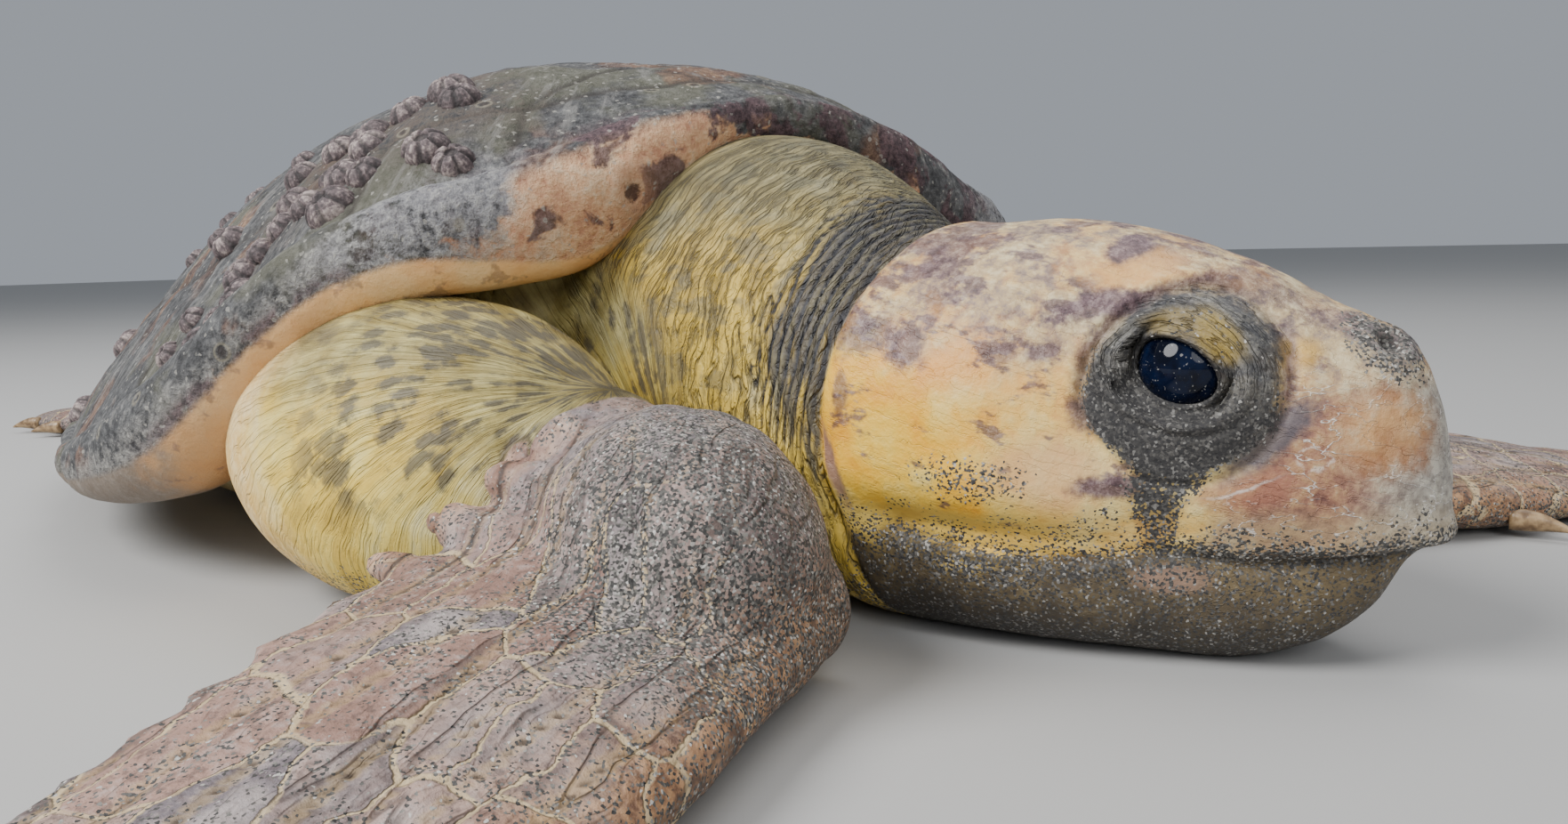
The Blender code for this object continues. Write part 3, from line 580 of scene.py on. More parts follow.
def scatter(name, shape, places, aims, sizes, turns, finish):
    """One joined mesh of copies of a shape, each stood on its place along its aim."""
    points = mesh_object(name, places, [], {"aim": aims, "size": sizes, "turn": turns})
    tree = bpy.data.node_groups.new(name, "GeometryNodeTree")
    tree.interface.new_socket("Geometry", in_out="INPUT", socket_type="NodeSocketGeometry")
    tree.interface.new_socket("Shape", in_out="INPUT", socket_type="NodeSocketObject")
    growth = tree.interface.new_socket("Growth", in_out="INPUT", socket_type="NodeSocketFloat")
    growth.default_value = 1.0
    tree.interface.new_socket("Geometry", in_out="OUTPUT", socket_type="NodeSocketGeometry")
    kinds = (
        "NodeGroupInput", "GeometryNodeMeshToPoints", "GeometryNodeInstanceOnPoints",
        "GeometryNodeObjectInfo", "FunctionNodeAlignRotationToVector", "FunctionNodeRotateRotation",
        "FunctionNodeAxisAngleToRotation", "ShaderNodeMath", "GeometryNodeRealizeInstances",
        "GeometryNodeSetMaterial", "NodeGroupOutput",
    )
    made = (tree.nodes.new(kind) for kind in kinds)
    start, dots, stand, info, align, spin, twist, scale, real, coat, end = made
    aim, size, turn = (tree.nodes.new("GeometryNodeInputNamedAttribute") for _ in range(3))
    for node, key, kind in ((aim, "aim", "FLOAT_VECTOR"), (size, "size", "FLOAT"), (turn, "turn", "FLOAT")):
        node.data_type = kind
        node.inputs["Name"].default_value = key
    align.axis, spin.rotation_space, scale.operation = "Z", "LOCAL", "MULTIPLY"
    twist.inputs["Axis"].default_value = (0, 0, 1)
    coat.inputs["Material"].default_value = finish
    for source, target in (
        (start.outputs[0], dots.inputs[0]), (dots.outputs[0], stand.inputs["Points"]),
        (start.outputs["Shape"], info.inputs[0]), (info.outputs["Geometry"], stand.inputs["Instance"]),
        (aim.outputs[0], align.inputs["Vector"]), (align.outputs[0], spin.inputs[0]),
        (turn.outputs[0], twist.inputs["Angle"]), (twist.outputs[0], spin.inputs[1]),
        (spin.outputs[0], stand.inputs["Rotation"]), (size.outputs[0], scale.inputs[0]),
        (start.outputs["Growth"], scale.inputs[1]), (scale.outputs[0], stand.inputs["Scale"]),
        (stand.outputs[0], real.inputs[0]), (real.outputs[0], coat.inputs[0]),
        (coat.outputs[0], end.inputs[0]),
    ):
        tree.links.new(source, target)
    modifier = points.modifiers.new(name, "NODES")
    modifier.node_group = tree
    for item in tree.interface.items_tree:
        if item.in_out == "INPUT" and item.name == "Shape":
            modifier[item.identifier] = shape
    bake_modifiers(points)
    bpy.data.objects.remove(shape)
    points.data.shade_smooth()
    return points


lime = Finish("barnacle lime", 0.7)
groove = lime.note("groove")
grain, patches = noise(lime.at, 420, 4, 0.6), noise(lime.at, 55, 2)
colour = ramp(
    grain * 0.5 + patches * 0.5, (0.38, 0.045, 0.033, 0.034), (0.5, 0.15, 0.11, 0.112),
    (0.6, 0.42, 0.34, 0.31),
)
# Dark seams between the plates, with painted shade in the rib gaps and inside the opening
colour = mix(groove * 0.85, colour, (0.02, 0.016, 0.016))
lime.done(colour, (grain - 0.5) * 0.9)
barnacles = scatter("barnacles", one_barnacle(), *settle_on_shell(), lime.material)
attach(barnacles, "root")


# ------------------------------------------------------------------ plastron
# The belly plate: cream horn, flat where it rests, its edge turned up to the rim at the bridges. It is
# built as rings from the middle outwards, with shallow grooves where its scutes meet.
PLASTRON_RISE = [
    (0, 0.022), (35, 0.014), (60, 0.030), (90, 0.034), (125, 0.030), (150, 0.012), (180, 0.014),
]
PLASTRON_FRONT, PLASTRON_REAR, PLASTRON_HALF, PLASTRON_THICKNESS = 0.325, 0.345, 0.275, 0.014
BELLY_SEAMS = [0.235, 0.115, -0.005, -0.125, -0.235]


def make_plastron(around=260):
    turn = np.linspace(0, 2 * pi, around, endpoint=False)
    x = np.where(np.cos(turn) > 0, PLASTRON_FRONT, PLASTRON_REAR) * np.cos(turn) - 0.005
    y = PLASTRON_HALF * power(np.sin(turn), 0.72)
    edge = track(PLASTRON_RISE, folded_of(turn))
    rings = []
    for share in np.linspace(0.02, 1.0, 40):
        lift = max(0.0, (share - 0.78) / 0.22) ** 1.7
        rings.append(np.stack([x * share, y * share, edge * lift], -1))
    for out, up in ((1.004, 0.25), (1.004, 0.6), (0.995, 0.9)):
        rings.append(np.stack([x * out, y * out, edge + PLASTRON_THICKNESS * 0.8 * up], -1))
    for share in (0.96, 0.78, 0.02):
        lift = max(0.0, (share - 0.78) / 0.22)
        rings.append(np.stack([x * share, y * share, edge * lift + PLASTRON_THICKNESS], -1))
    points = np.concatenate(rings)
    slant = 0.02 * np.abs(points[:, 1]) / 0.2
    wander = 0.004 * lumps(points, 0.06, 4)
    cross = np.min([np.abs(points[:, 0] - at - slant + wander) for at in BELLY_SEAMS], axis=0)
    seam = np.minimum(cross, np.abs(points[:, 1] + 0.004 * lumps(points, 0.07, 3)))
    points[:, 2] += 0.0016 * bell(seam, 0.003) * (points[:, 2] < 0.012)
    index = np.arange(len(points)).reshape(-1, around)
    faces = quads(index).tolist() + [index[0].tolist(), index[-1][::-1].tolist()]
    return mesh_object("plastron_skin", points, faces, {"seam": bell(seam, 0.004)})


plastron = make_plastron()
belly = Finish("belly horn", 0.5)
seam, broad, fine = belly.note("seam"), noise(belly.at, 9, 4), noise(belly.at, 120, 4, 0.6)
colour = ramp(
    broad * 0.7 + fine * 0.3, (0.36, 0.34, 0.22, 0.075), (0.5, 0.6, 0.44, 0.19), (0.64, 0.72, 0.6, 0.36)
)
colour = mix(seam * 0.7, colour, (0.15, 0.095, 0.045))
belly.done(colour, (fine - 0.5) * 0.8 + (broad - 0.5) * 1.5)
plastron.data.materials.append(belly.material)
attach(plastron, "root")
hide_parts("plastron")


# ------------------------------------------------------------------ skin
# One hide over the head, neck, limbs and tail, with no seam. It is laid over lofts and ellipsoids,
# merged, smoothed and then worked with folds, lids, nostrils and a mouth line.
HEAD_TURN = radians(16)
HEAD_REAR = np.array([0.565, -0.017, 0.0])
HEAD_TOP = [
    (-0.06, 0.160), (-0.02, 0.180), (0.025, 0.188), (0.080, 0.190), (0.125, 0.184), (0.161, 0.171),
    (0.190, 0.156), (0.212, 0.146), (0.225, 0.138), (0.2345, 0.122), (0.2415, 0.096), (0.2445, 0.066),
]
HEAD_HALF = [
    (-0.06, 0.076), (-0.02, 0.088), (0.03, 0.096), (0.065, 0.096), (0.10, 0.088), (0.13, 0.076),
    (0.155, 0.065), (0.18, 0.054), (0.20, 0.045), (0.217, 0.036), (0.230, 0.026), (0.239, 0.016),
    (0.244, 0.005),
]
MOUTH_LINE = [
    (-0.06, 0.050), (0.035, 0.052), (0.11, 0.049), (0.145, 0.053), (0.18, 0.048), (0.21, 0.050),
    (0.25, 0.055),
]
JAW_LOW = [
    (-0.05, 0.022), (-0.01, 0.002), (0.03, -0.003), (0.155, -0.003),
    (0.19, 0.006), (0.208, 0.016), (0.222, 0.034), (0.2285, 0.048),
]
JAW_HALF = [
    (-0.05, 0.064), (0.0, 0.082), (0.05, 0.0835), (0.10, 0.0755), (0.15, 0.059),
    (0.19, 0.040), (0.21, 0.027), (0.222, 0.016), (0.2285, 0.004),
]
EYE_PLACE = (0.151, 0.0462, 0.128)
EYE_RADIUS = 0.0195
LID_THICKNESS = 0.0022
OPENING_PLACE = (0.15, 0.1275)
NOSTRIL = (0.22, 0.0125, 0.1365)
LID_PLACE = (0.154, 0.044, 0.121)
LID_RADII = (0.036, 0.023, 0.038)
NECK = [
    # x, centre y, half-width, top, low, degrees turned towards the head
    (0.30, 0.000, 0.145, 0.243, 0.019, 0.0),
    (0.34, -0.001, 0.140, 0.246, 0.018, 0.0),
    (0.42, -0.004, 0.122, 0.247, 0.012, 3.0),
    (0.48, -0.008, 0.108, 0.238, 0.008, 8.0),
    (0.53, -0.012, 0.098, 0.217, 0.006, 12.0),
    (0.575, -0.013, 0.090, 0.188, 0.010, 16.0),
    (0.61, -0.004, 0.080, 0.165, 0.018, 16.0),
]
ARM = [
    ((0.385, -0.212, 0.078), (0.15, 0.088, 0.083), (0, 0, 8)),
    ((0.5, -0.185, 0.068), (0.09, 0.052, 0.054), (0, 2, 4)),
    ((0.59, -0.185, 0.056), (0.078, 0.062, 0.06), (0, 4, -20)),
    # The folds of skin where the flipper's rear edge meets the arm
    ((0.557, -0.226, 0.082), (0.032, 0.013, 0.012), (0, 8, 28)),
    ((0.552, -0.252, 0.068), (0.034, 0.012, 0.01), (0, 6, 24)),
    ((0.556, -0.281, 0.056), (0.03, 0.011, 0.009), (0, 4, 22)),
]
BLADE = [
    # along, lead x, lead y, trail x, trail y, trail height, thickness
    (0.00, 0.640, -0.130, 0.530, -0.215, 0.070, 0.062),
    (0.12, 0.660, -0.165, 0.538, -0.248, 0.060, 0.055),
    (0.30, 0.692, -0.222, 0.560, -0.315, 0.050, 0.045),
    (0.45, 0.724, -0.277, 0.597, -0.360, 0.045, 0.037),
    (0.62, 0.750, -0.345, 0.622, -0.402, 0.038, 0.030),
    (0.80, 0.766, -0.420, 0.657, -0.455, 0.026, 0.022),
    (0.93, 0.768, -0.475, 0.708, -0.503, 0.012, 0.016),
    (1.00, 0.762, -0.505, 0.752, -0.515, 0.004, 0.012),
]
THIGH = [
    ((-0.29, -0.155, 0.042), (0.1, 0.07, 0.036), (0, 0, 25)),
    ((-0.378, -0.208, 0.027), (0.072, 0.052, 0.025), (0, 0, 35)),
]
HIND_BLADE = [
    (0.00, -0.375, -0.265, -0.345, -0.165, 0.016, 0.036),
    (0.25, -0.440, -0.290, -0.405, -0.165, 0.012, 0.028),
    (0.55, -0.510, -0.310, -0.475, -0.185, 0.010, 0.021),
    (0.80, -0.568, -0.312, -0.540, -0.220, 0.008, 0.015),
    (0.94, -0.598, -0.298, -0.585, -0.252, 0.007, 0.011),
    (1.00, -0.606, -0.282, -0.604, -0.270, 0.006, 0.009),
]
ELBOW = np.array([0.585, -0.172, 0.0])
BLADE_RUN = np.array([0.454, -0.891, 0.0])
BLADE_ACROSS = np.array([0.891, 0.454, 0.0])
FINE_VOXEL = 0.0037
COARSE_VOXEL = 0.007
ARMPIT = np.array([0.527, -0.176, 0.117])
STREAK_ALONG = np.array([-0.723, -0.678, -0.141])
STREAK_UP = np.cross([0.35, -0.72, 0.6], STREAK_ALONG)


def from_head(place):
    """From the head's own axes to the turtle's."""
    x, y, z = np.moveaxis(np.asarray(place, float), -1, 0)
    c, s = cos(HEAD_TURN), sin(HEAD_TURN)
    return np.stack([HEAD_REAR[0] + x * c - y * s, HEAD_REAR[1] + x * s + y * c, z], -1)


def to_head(points):
    x, y = points[:, 0] - HEAD_REAR[0], points[:, 1] - HEAD_REAR[1]
    c, s = cos(HEAD_TURN), sin(HEAD_TURN)
    return np.stack([x * c + y * s, y * c - x * s, points[:, 2]], -1)


def section(half, top, low, waist, square_top=2.3, square_low=2.6, count=96):
    """One closed cross-section as (y, z) points, widest at the height of its waist."""
    t = np.linspace(0, 2 * pi, count, endpoint=False)
    c, s = np.cos(t), np.sin(t)
    n = np.where(s >= 0, square_top, square_low)
    reach = np.where(s >= 0, top - waist, waist - low)
    return half * power(c, 2 / n), waist + reach * power(s, 2 / n)


def add_loft(bm, rings):
    rows = [[bm.verts.new(p) for p in ring] for ring in rings]
    count = len(rows[0])
    for low, high in zip(rows, rows[1:]):
        for i in range(count):
            bm.faces.new((low[i], low[(i + 1) % count], high[(i + 1) % count], high[i]))
    bm.faces.new(rows[0][::-1])
    bm.faces.new(rows[-1])


def add_blob(bm, centre, radii, turn=(0, 0, 0)):
    spin = Matrix.Identity(4)
    for angle, axis in zip(turn, "XYZ"):
        spin = Matrix.Rotation(radians(angle), 4, axis) @ spin
    place = Matrix.Translation(centre) @ spin @ Matrix.Diagonal((*radii, 1.0))
    bmesh.ops.create_uvsphere(bm, u_segments=72, v_segments=44, radius=1.0, matrix=place)


def add_head(bm):
    rings = []
    for x in np.concatenate([np.linspace(-0.06, 0.2, 50), np.linspace(0.203, 0.244, 24)]):
        top, half, low = track(HEAD_TOP, x), track(HEAD_HALF, x), track(MOUTH_LINE, x) - 0.002
        low = min(low, top - 0.006)
        y, z = section(half, top, low, low + (top - low) * 0.34, 2.15, 3.2)
        rings.append(from_head(np.stack([np.full_like(y, x), y, z], -1)))
    add_loft(bm, rings)
    for side in (-1, 1):
        centre = from_head((LID_PLACE[0], side * LID_PLACE[1], LID_PLACE[2]))
        add_blob(bm, centre, LID_RADII, (side * 16, 0, np.degrees(HEAD_TURN) - side * 10))
    rings = []
    for x in np.concatenate([np.linspace(-0.05, 0.19, 40), np.linspace(0.194, 0.2285, 16)]):
        top, half, low = track(MOUTH_LINE, x) + 0.012, track(JAW_HALF, x), track(JAW_LOW, x)
        y, z = section(half, top, min(low, top - 0.012), top - 0.018, 2.6, 2.6)
        rings.append(from_head(np.stack([np.full_like(y, x), y, z], -1)))
    add_loft(bm, rings)


def add_neck(bm):
    rings = []
    for x in np.linspace(NECK[0][0], NECK[-1][0], 60):
        middle, half, top, low, turn = (track([(row[0], row[k]) for row in NECK], x) for k in range(1, 6))
        y, z = section(half, top, low, low + (top - low) * 0.45, 2.1, 2.4)
        c, s = cos(radians(turn)), sin(radians(turn))
        rings.append(np.stack([x - y * s, middle + y * c, z], -1))
    add_loft(bm, rings)


def add_blade(bm, side, rows, stations, lobes):
    """A flipper blade: thick round leading edge on the floor, thin lobed trailing edge."""
    shares = np.linspace(0, 1, 30) ** 1.5
    around = [(u, 1) for u in shares] + [(u, -1) for u in shares[-2:0:-1]]
    rings = []
    for along in np.linspace(0, 1, stations):
        values = [track([(row[0], row[k]) for row in rows], along) for k in range(1, 7)]
        lead, trail = np.array(values[0:2]), np.array(values[2:4])
        lift, thick = values[4], values[5]
        chord = (trail - lead) / np.linalg.norm(trail - lead)
        trail = trail + chord * 0.007 * abs(sin(lobes * pi * along)) * (1 - 0.8 * along)
        ring = []
        for u, face in around:
            body = 1.4845 * u**0.5 - 0.63 * u - 1.758 * u**2 + 1.4215 * u**3 - 0.5075 * u**4
            rise = lift * max(0.0, (u - 0.22) / 0.78) ** 1.2
            if face > 0:
                height = rise + thick * (0.5 + body if u < 0.3 else 2 * body) + 0.005 * min(1, u * 3)
            else:
                height = rise + thick * (0.5 - body if u < 0.3 else 0.0)
            place = lead + (trail - lead) * u
            ring.append((place[0], side * -place[1], height))
        rings.append(ring)
    add_loft(bm, rings)


def add_limb(bm, side, blobs, rows, stations, lobes):
    for centre, radii, turn in blobs:
        add_blob(bm, (centre[0], side * -centre[1], centre[2]), radii, (turn[0], turn[1], turn[2] * -side))
    add_blade(bm, side, rows, stations, lobes)


def add_tail(bm):
    rings = []
    for along in np.linspace(0, 1, 30):
        half = 0.05 * (1 - along) ** 0.8 + 0.006
        top = 0.085 * (1 - along) + 0.014
        y, z = section(half, top, 0.0, top * 0.45, 2.1, 2.4, 48)
        rings.append([(-0.3 - 0.2 * along, b, h) for b, h in zip(y, z)])
    add_loft(bm, rings)


def add_trunk(bm, around=48):
    """The body inside the shell: it shows only as the skin behind the rim and by the belly plate."""
    turn = np.linspace(0, 2 * pi, around, endpoint=False)
    rings = [shell_surface(turn, share) - np.array([0, 0, 0.012]) for share in (0.02, 0.25, 0.5, 0.72, 0.88)]
    edge = rings[-1]
    rings.append(
        edge * np.array([0.96, 0.96, 0]) + np.array([0, 0, 1]) * np.maximum(edge[:, 2:] * 0.45, 0.022),
    )
    rings.append(edge * np.array([0.8, 0.84, 0]) + np.array([0, 0, 0.008]))
    add_loft(bm, rings)


def object_of(bm, name):
    mesh = bpy.data.meshes.new(name)
    bm.to_mesh(mesh)
    bm.free()
    obj = bpy.data.objects.new(name, mesh)
    bpy.context.collection.objects.link(obj)
    return obj


def closed(name, fill):
    """An object of everything that fill adds."""
    bm = bmesh.new()
    fill(bm)
    bmesh.ops.recalc_face_normals(bm, faces=bm.faces)
    return object_of(bm, name)


def merged(name, fill, voxel):
    """One even closed mesh round everything that fill adds."""
    obj = closed(name, fill)
    remesh = obj.modifiers.new("remesh", "REMESH")
    remesh.mode, remesh.voxel_size = "VOXEL", voxel
    soften = obj.modifiers.new("soften", "SMOOTH")
    soften.factor, soften.iterations = 0.5, 6 if voxel < 0.004 else 4
    bake_modifiers(obj)
    return obj


def add_front(bm):
    add_head(bm)
    add_neck(bm)
    add_limb(bm, -1, ARM, BLADE, 120, 11)


def add_rest(bm):
    add_limb(bm, 1, ARM, BLADE, 70, 11)
    for side in (-1, 1):
        add_limb(bm, side, THIGH, HIND_BLADE, 50, 7)
    add_tail(bm)


skin = merged("skin", add_front, FINE_VOXEL)
others = merged("other_limbs", add_rest, COARSE_VOXEL)
# The trunk and the other limbs join the finer front half
for other in (others, closed("inside", add_trunk)):
    union = skin.modifiers.new("union", "BOOLEAN")
    union.object, union.operation, union.solver = other, "UNION", "MANIFOLD"
    bake_modifiers(skin)
    bpy.data.objects.remove(other)


# The next three take points of the skin here, and shader values further down
def behind_head(x, z):
    """Distance behind the crease where the neck's folds meet the head."""
    return (z - 0.1) * (z - 0.1) * 2.9 - 0.002 - x


def opening_axes(x, z):
    """Place in the eye's slanted opening, in shares of its half-width and half-height."""
    x, z = x - OPENING_PLACE[0], z - OPENING_PLACE[1]
    return (x * 0.913 - z * 0.407) / 0.018, (x * 0.407 + z * 0.913) / 0.0128


def slit_axes(x, z):
    """Place in the healed slit behind the right cheek, in the same manner."""
    return (x - 0.0065 + (z - 0.0815) * 0.3) / 0.0034, (z - 0.0815) / 0.0125


def eye_opening(head):
    """1 on the edge of the eye's opening, less inside it."""
    return np.hypot(*opening_axes(head[:, 0], head[:, 2]))


def lid_edge(head):
    """1 on the oval crease round both lids."""
    return np.hypot((head[:, 0] - 0.155) / 0.0365, (head[:, 2] - 0.121) / 0.0395)


def near_eye(points):
    head = to_head(points)
    return (lid_edge(head) < 1.25) & (np.abs(head[:, 1]) > 0.025)


def eye_rim(points):
    head = to_head(points)
    return (eye_opening(head) < 1.9) & (np.abs(head[:, 1]) > 0.03)


def folds_and_mouth(points):
    ahead, _, above = to_head(points).T
    behind = behind_head(ahead, above)
    folds = (behind > -0.008) & (behind < 0.042) & (np.abs(points[:, 1]) < 0.122) & (above > 0.02)
    mouth = (np.abs(above - track(MOUTH_LINE, ahead)) < 0.007) & (ahead > 0.03)
    nostril = (ahead > 0.205) & (above > 0.12)
    return (folds & (ahead < 0.05)) | mouth | nostril


def refine(obj, zones):
    """Quarters the faces in each zone in turn."""
    bm = bmesh.new()
    bm.from_mesh(obj.data)
    for zone in zones:
        bm.verts.index_update()
        inside = zone(np.array([v.co for v in bm.verts]))
        edges = [e for e in bm.edges if inside[e.verts[0].index] and inside[e.verts[1].index]]
        bmesh.ops.subdivide_edges(bm, edges=edges, cuts=1, use_grid_fill=True)
    bmesh.ops.triangulate(bm, faces=[f for f in bm.faces if len(f.verts) > 4])
    bm.to_mesh(obj.data)
    bm.free()


def read_points(mesh, what="co"):
    values = np.empty(len(mesh.vertices) * 3, np.float32)
    if what == "co":
        mesh.vertices.foreach_get("co", values)
    else:
        mesh.vertex_normals.foreach_get("vector", values)
    return values.reshape(-1, 3).astype(float)


def set_points(mesh, points):
    mesh.vertices.foreach_set("co", points.astype(np.float32).ravel())
    mesh.update()


def relax(mesh, rounds, share=0.5):
    """Evens out the mesh's surface."""
    edges = np.empty(len(mesh.edges) * 2, np.int64)
    mesh.edges.foreach_get("vertices", edges)
    first, second = edges.reshape(-1, 2).T
    points = read_points(mesh)
    count = np.bincount(edges, minlength=len(points))[:, None]
    for _ in range(rounds):
        total = np.stack(
            [
                np.bincount(first, points[second, k], len(points))
                + np.bincount(second, points[first, k], len(points))
                for k in range(3)
            ],
            -1,
        )
        points += share * (total / np.maximum(count, 1) - points)
    set_points(mesh, points)


refine(skin, (near_eye, eye_rim, folds_and_mouth))
relax(skin.data, 3)


def press_in_eyes(points):
    """Sinks the skin inside each eye's opening, so that the ball shows there."""
    head = to_head(points)
    side = np.sign(head[:, 1])
    out = np.abs(head[:, 1])
    away = np.hypot(head[:, 0] - EYE_PLACE[0], head[:, 2] - EYE_PLACE[2])
    opening = eye_opening(head)
    lid = EYE_PLACE[1] + np.sqrt(np.maximum((EYE_RADIUS + LID_THICKNESS) ** 2 - away**2, 0.0))
    hugged = out + (lid - out) * fade(opening, 1.05, 1.5) * (away < EYE_RADIUS + LID_THICKNESS)
    sunk = hugged - 0.007 * fade(opening, 0.9, 1.02)
    head[:, 1] = side * np.where(out > 0.028, sunk, out)
    return from_head(head)


def skin_height(points):
    """What stands out of the smooth body, in metres, then the depth of folds and creases for painted shade,
    and the places on the blade.
    """
    head = to_head(points)
    ahead, beside, above = head[:, 0], np.abs(head[:, 1]), head[:, 2]
    x, y, z = points.T
    behind = behind_head(ahead, above)
    limb = smooth(np.abs(y), 0.113, 0.122)
    on_neck = smooth(behind, -0.001, 0.003) * (1 - limb) * smooth(x, 0.36, 0.4)
    around = np.stack([y, z, np.zeros_like(z)], -1)
    phase = behind / 0.0056 + 1.1 * lumps(around, 0.045, 11) + 0.5 * lumps(around, 0.016, 12)
    fold = (1 - np.abs(np.sin(pi * phase)) ** 0.8) * on_neck
    depth = 0.0021 * bell(behind, 0.045) * smooth(z, 0.04, 0.13) + 0.0009 * bell(behind, 0.11)
    height = -fold * depth + 0.0007 * on_neck
    height -= 0.0042 * bell(behind, 0.0024) * (1 - limb) * smooth(above, 0.012, 0.03)
    height += 0.0022 * bell(behind + 0.012, 0.009) * (1 - limb) * smooth(above, 0.03, 0.06)
    on_head = fade(behind, -0.003, 0.0) * (1 - limb)
    lateral = smooth(beside, 0.026, 0.036) * on_head
    opening, lids = eye_opening(head), lid_edge(head)
    height += lateral * (0.0009 * bell(opening - 1.1, 0.09) - 0.001 * bell(opening - 1.36, 0.08))
    height += lateral * (0.0009 * bell(opening - 1.6, 0.11) - 0.0008 * bell(opening - 1.86, 0.08))
    brow = 0.0018 * bell(lids - 1.14, 0.09) * smooth(above, 0.11, 0.15)
    height += lateral * (brow - 0.0022 * bell(lids - 1.0, 0.045))
    up = above - track(MOUTH_LINE, ahead)
    mouth = smooth(ahead, 0.03, 0.06) * on_head
    height -= mouth * 0.0034 * bell(up + 0.0005, 0.0021)
    height += mouth * smooth(ahead, 0.1, 0.14) * 0.0016 * bell(up - 0.0065, 0.005)
    cheek = fade(ahead, 0.1, 0.15) * on_head * smooth(ahead, -0.01, 0.03)
    jowl = 0.0012 * smooth(-up, -0.012, 0.01) * fade(-up, 0.015, 0.045)
    height += cheek * (0.0012 * bell(up - 0.022, 0.015) - jowl)
    nostril = np.linalg.norm(np.stack([ahead, beside, above], -1) - NOSTRIL, axis=1)
    height += on_head * (0.001 * bell(nostril - 0.0085, 0.003) - 0.006 * bell(nostril, 0.0043))
    height -= 0.0032 * bell(np.hypot(*slit_axes(ahead, z)), 1.0) * (head[:, 1] < 0)
    height += on_head * (0.001 * lumps(points, 0.03, 21) + 0.0004 * lumps(points, 0.011, 22))
    folded = np.stack([x, -np.abs(y), z], -1)
    away = folded - ARMPIT
    reach = np.linalg.norm(away, axis=1)
    angle = np.arctan2(away @ STREAK_UP, away @ STREAK_ALONG)
    shoulder = limb * fade(x, 0.525, 0.54) * smooth(x, 0.25, 0.3)
    ridges = np.sin(angle * 19 + 1.4 * lumps(points, 0.05, 31)) * smooth(reach, 0.01, 0.045)
    ridges = ridges * fade(reach, 0.08, 0.17)
    bumps = 0.0006 * ridges + 0.0014 * lumps(points, 0.05, 32) + 0.0005 * lumps(points, 0.018, 33)
    height += shoulder * bumps
    run, wide = ((folded - ELBOW) @ along for along in (BLADE_RUN, BLADE_ACROSS))
    wave = wide / 0.0215 + 0.55 * lumps(np.stack([run * 0.35, wide, z * 0.3], -1), 0.03, 41)
    low = fade(z, 0.098, 0.116)
    lobe = np.abs(np.sin(pi * wave)) ** 0.5 * low
    inward = x - 0.537 + 0.014 * lobe
    flipper = limb * smooth(inward, -0.001, 0.0025)
    height += limb * (0.0028 * bell(inward - 0.007, 0.007) - 0.0034 * bell(inward + 0.002, 0.0035)) * low
    patchy = lumps(np.stack([run * 0.4, wide, z], -1), 0.03, 42)
    crease = (1 - np.abs(np.sin(pi * wave)) ** 0.38) * smooth(patchy, -0.75, 0.0)
    crease = crease * (1 - smooth(wide, 0.02, 0.055) * fade(run, 0.02, 0.1))
    crease = np.maximum(crease, (1 - np.abs(np.sin(pi * wave)) ** 0.75) * bell(inward - 0.006, 0.026) * low)
    height -= flipper * 0.0024 * crease * smooth(z, 0.012, 0.03)
    height += flipper * (0.0011 * lumps(points, 0.022, 43) + 0.0004 * lumps(points, 0.009, 44))
    return height, np.maximum(fold * smooth(depth, 0.0, 0.0022), crease * flipper * 0.8), inward, wave


mesh = skin.data
points = press_in_eyes(read_points(mesh))
set_points(mesh, points)
raised, *notes = skin_height(points)
points = points + read_points(mesh, "normal") * raised[:, None]
points[:, 2] = np.maximum(points[:, 2], 0.0003)
set_points(mesh, points + BODY)
for name, values in zip(("fold", "rear", "wave"), notes):
    mesh.attributes.new(name, "FLOAT", "POINT").data.foreach_set("value", values.astype(np.float32))
mesh.shade_smooth()


def placed(vector, offset, turn=(0, 0, 0)):
    return vector.finish.node("ShaderNodeMapping", {}, {0: vector, 1: offset, 2: turn})


def length(*parts):
    return vector_sum("LENGTH", pack(*parts))


def lines(vector, width, detail=2.0):
    """Thin lines where a noise passes its middle."""
    return near(noise(vector, 1.0, detail, 0.5), 0.5, width)


hide = Finish("hide", 0.55)
here = placed(hide.at, tuple(-BODY))
x, y, z = (part(here, k) for k in range(3))
across_body = far(y)
right = pack(x, across_body * -1.0, z)
spin = Matrix.Rotation(-HEAD_TURN, 3, "Z")
head_at = placed(hide.at, tuple(spin @ Vector(-(HEAD_REAR + BODY))), turn=(0, 0, -HEAD_TURN))
hx, hy, hz = (part(head_at, k) for k in range(3))
fold, rear = hide.note("fold"), hide.note("rear")
broad, middling, fine = noise(here, 11, 3), noise(here, 45, 4, 0.6), noise(here, 190, 4, 0.65)
drift, sway, jitter = broad - 0.5, middling - 0.5, fine - 0.5
grit = noise(here, 900, 2, 0.7)
mottle, cloud = middling * 0.5 + fine * 0.5, middling * 0.5 + broad * 0.5
behind = behind_head(hx, hz)
limb = rise(across_body, 0.113, 0.12)
grain_cells = cells(here, 980, "F1", "Color")
sand = ramp(
    part(grain_cells, 1), (0.0, 0.024, 0.023, 0.022), (0.42, 0.068, 0.064, 0.058),
    (0.7, 0.135, 0.127, 0.113), (0.9, 0.24, 0.225, 0.2), (0.98, 0.5, 0.48, 0.44),
)
grain = part(grain_cells, 0)


def dot(vector, direction):
    return vector_sum("DOT_PRODUCT", vector, tuple(direction))


def angle_of(up, along):
    return up.sum("ARCTAN2", up, along)


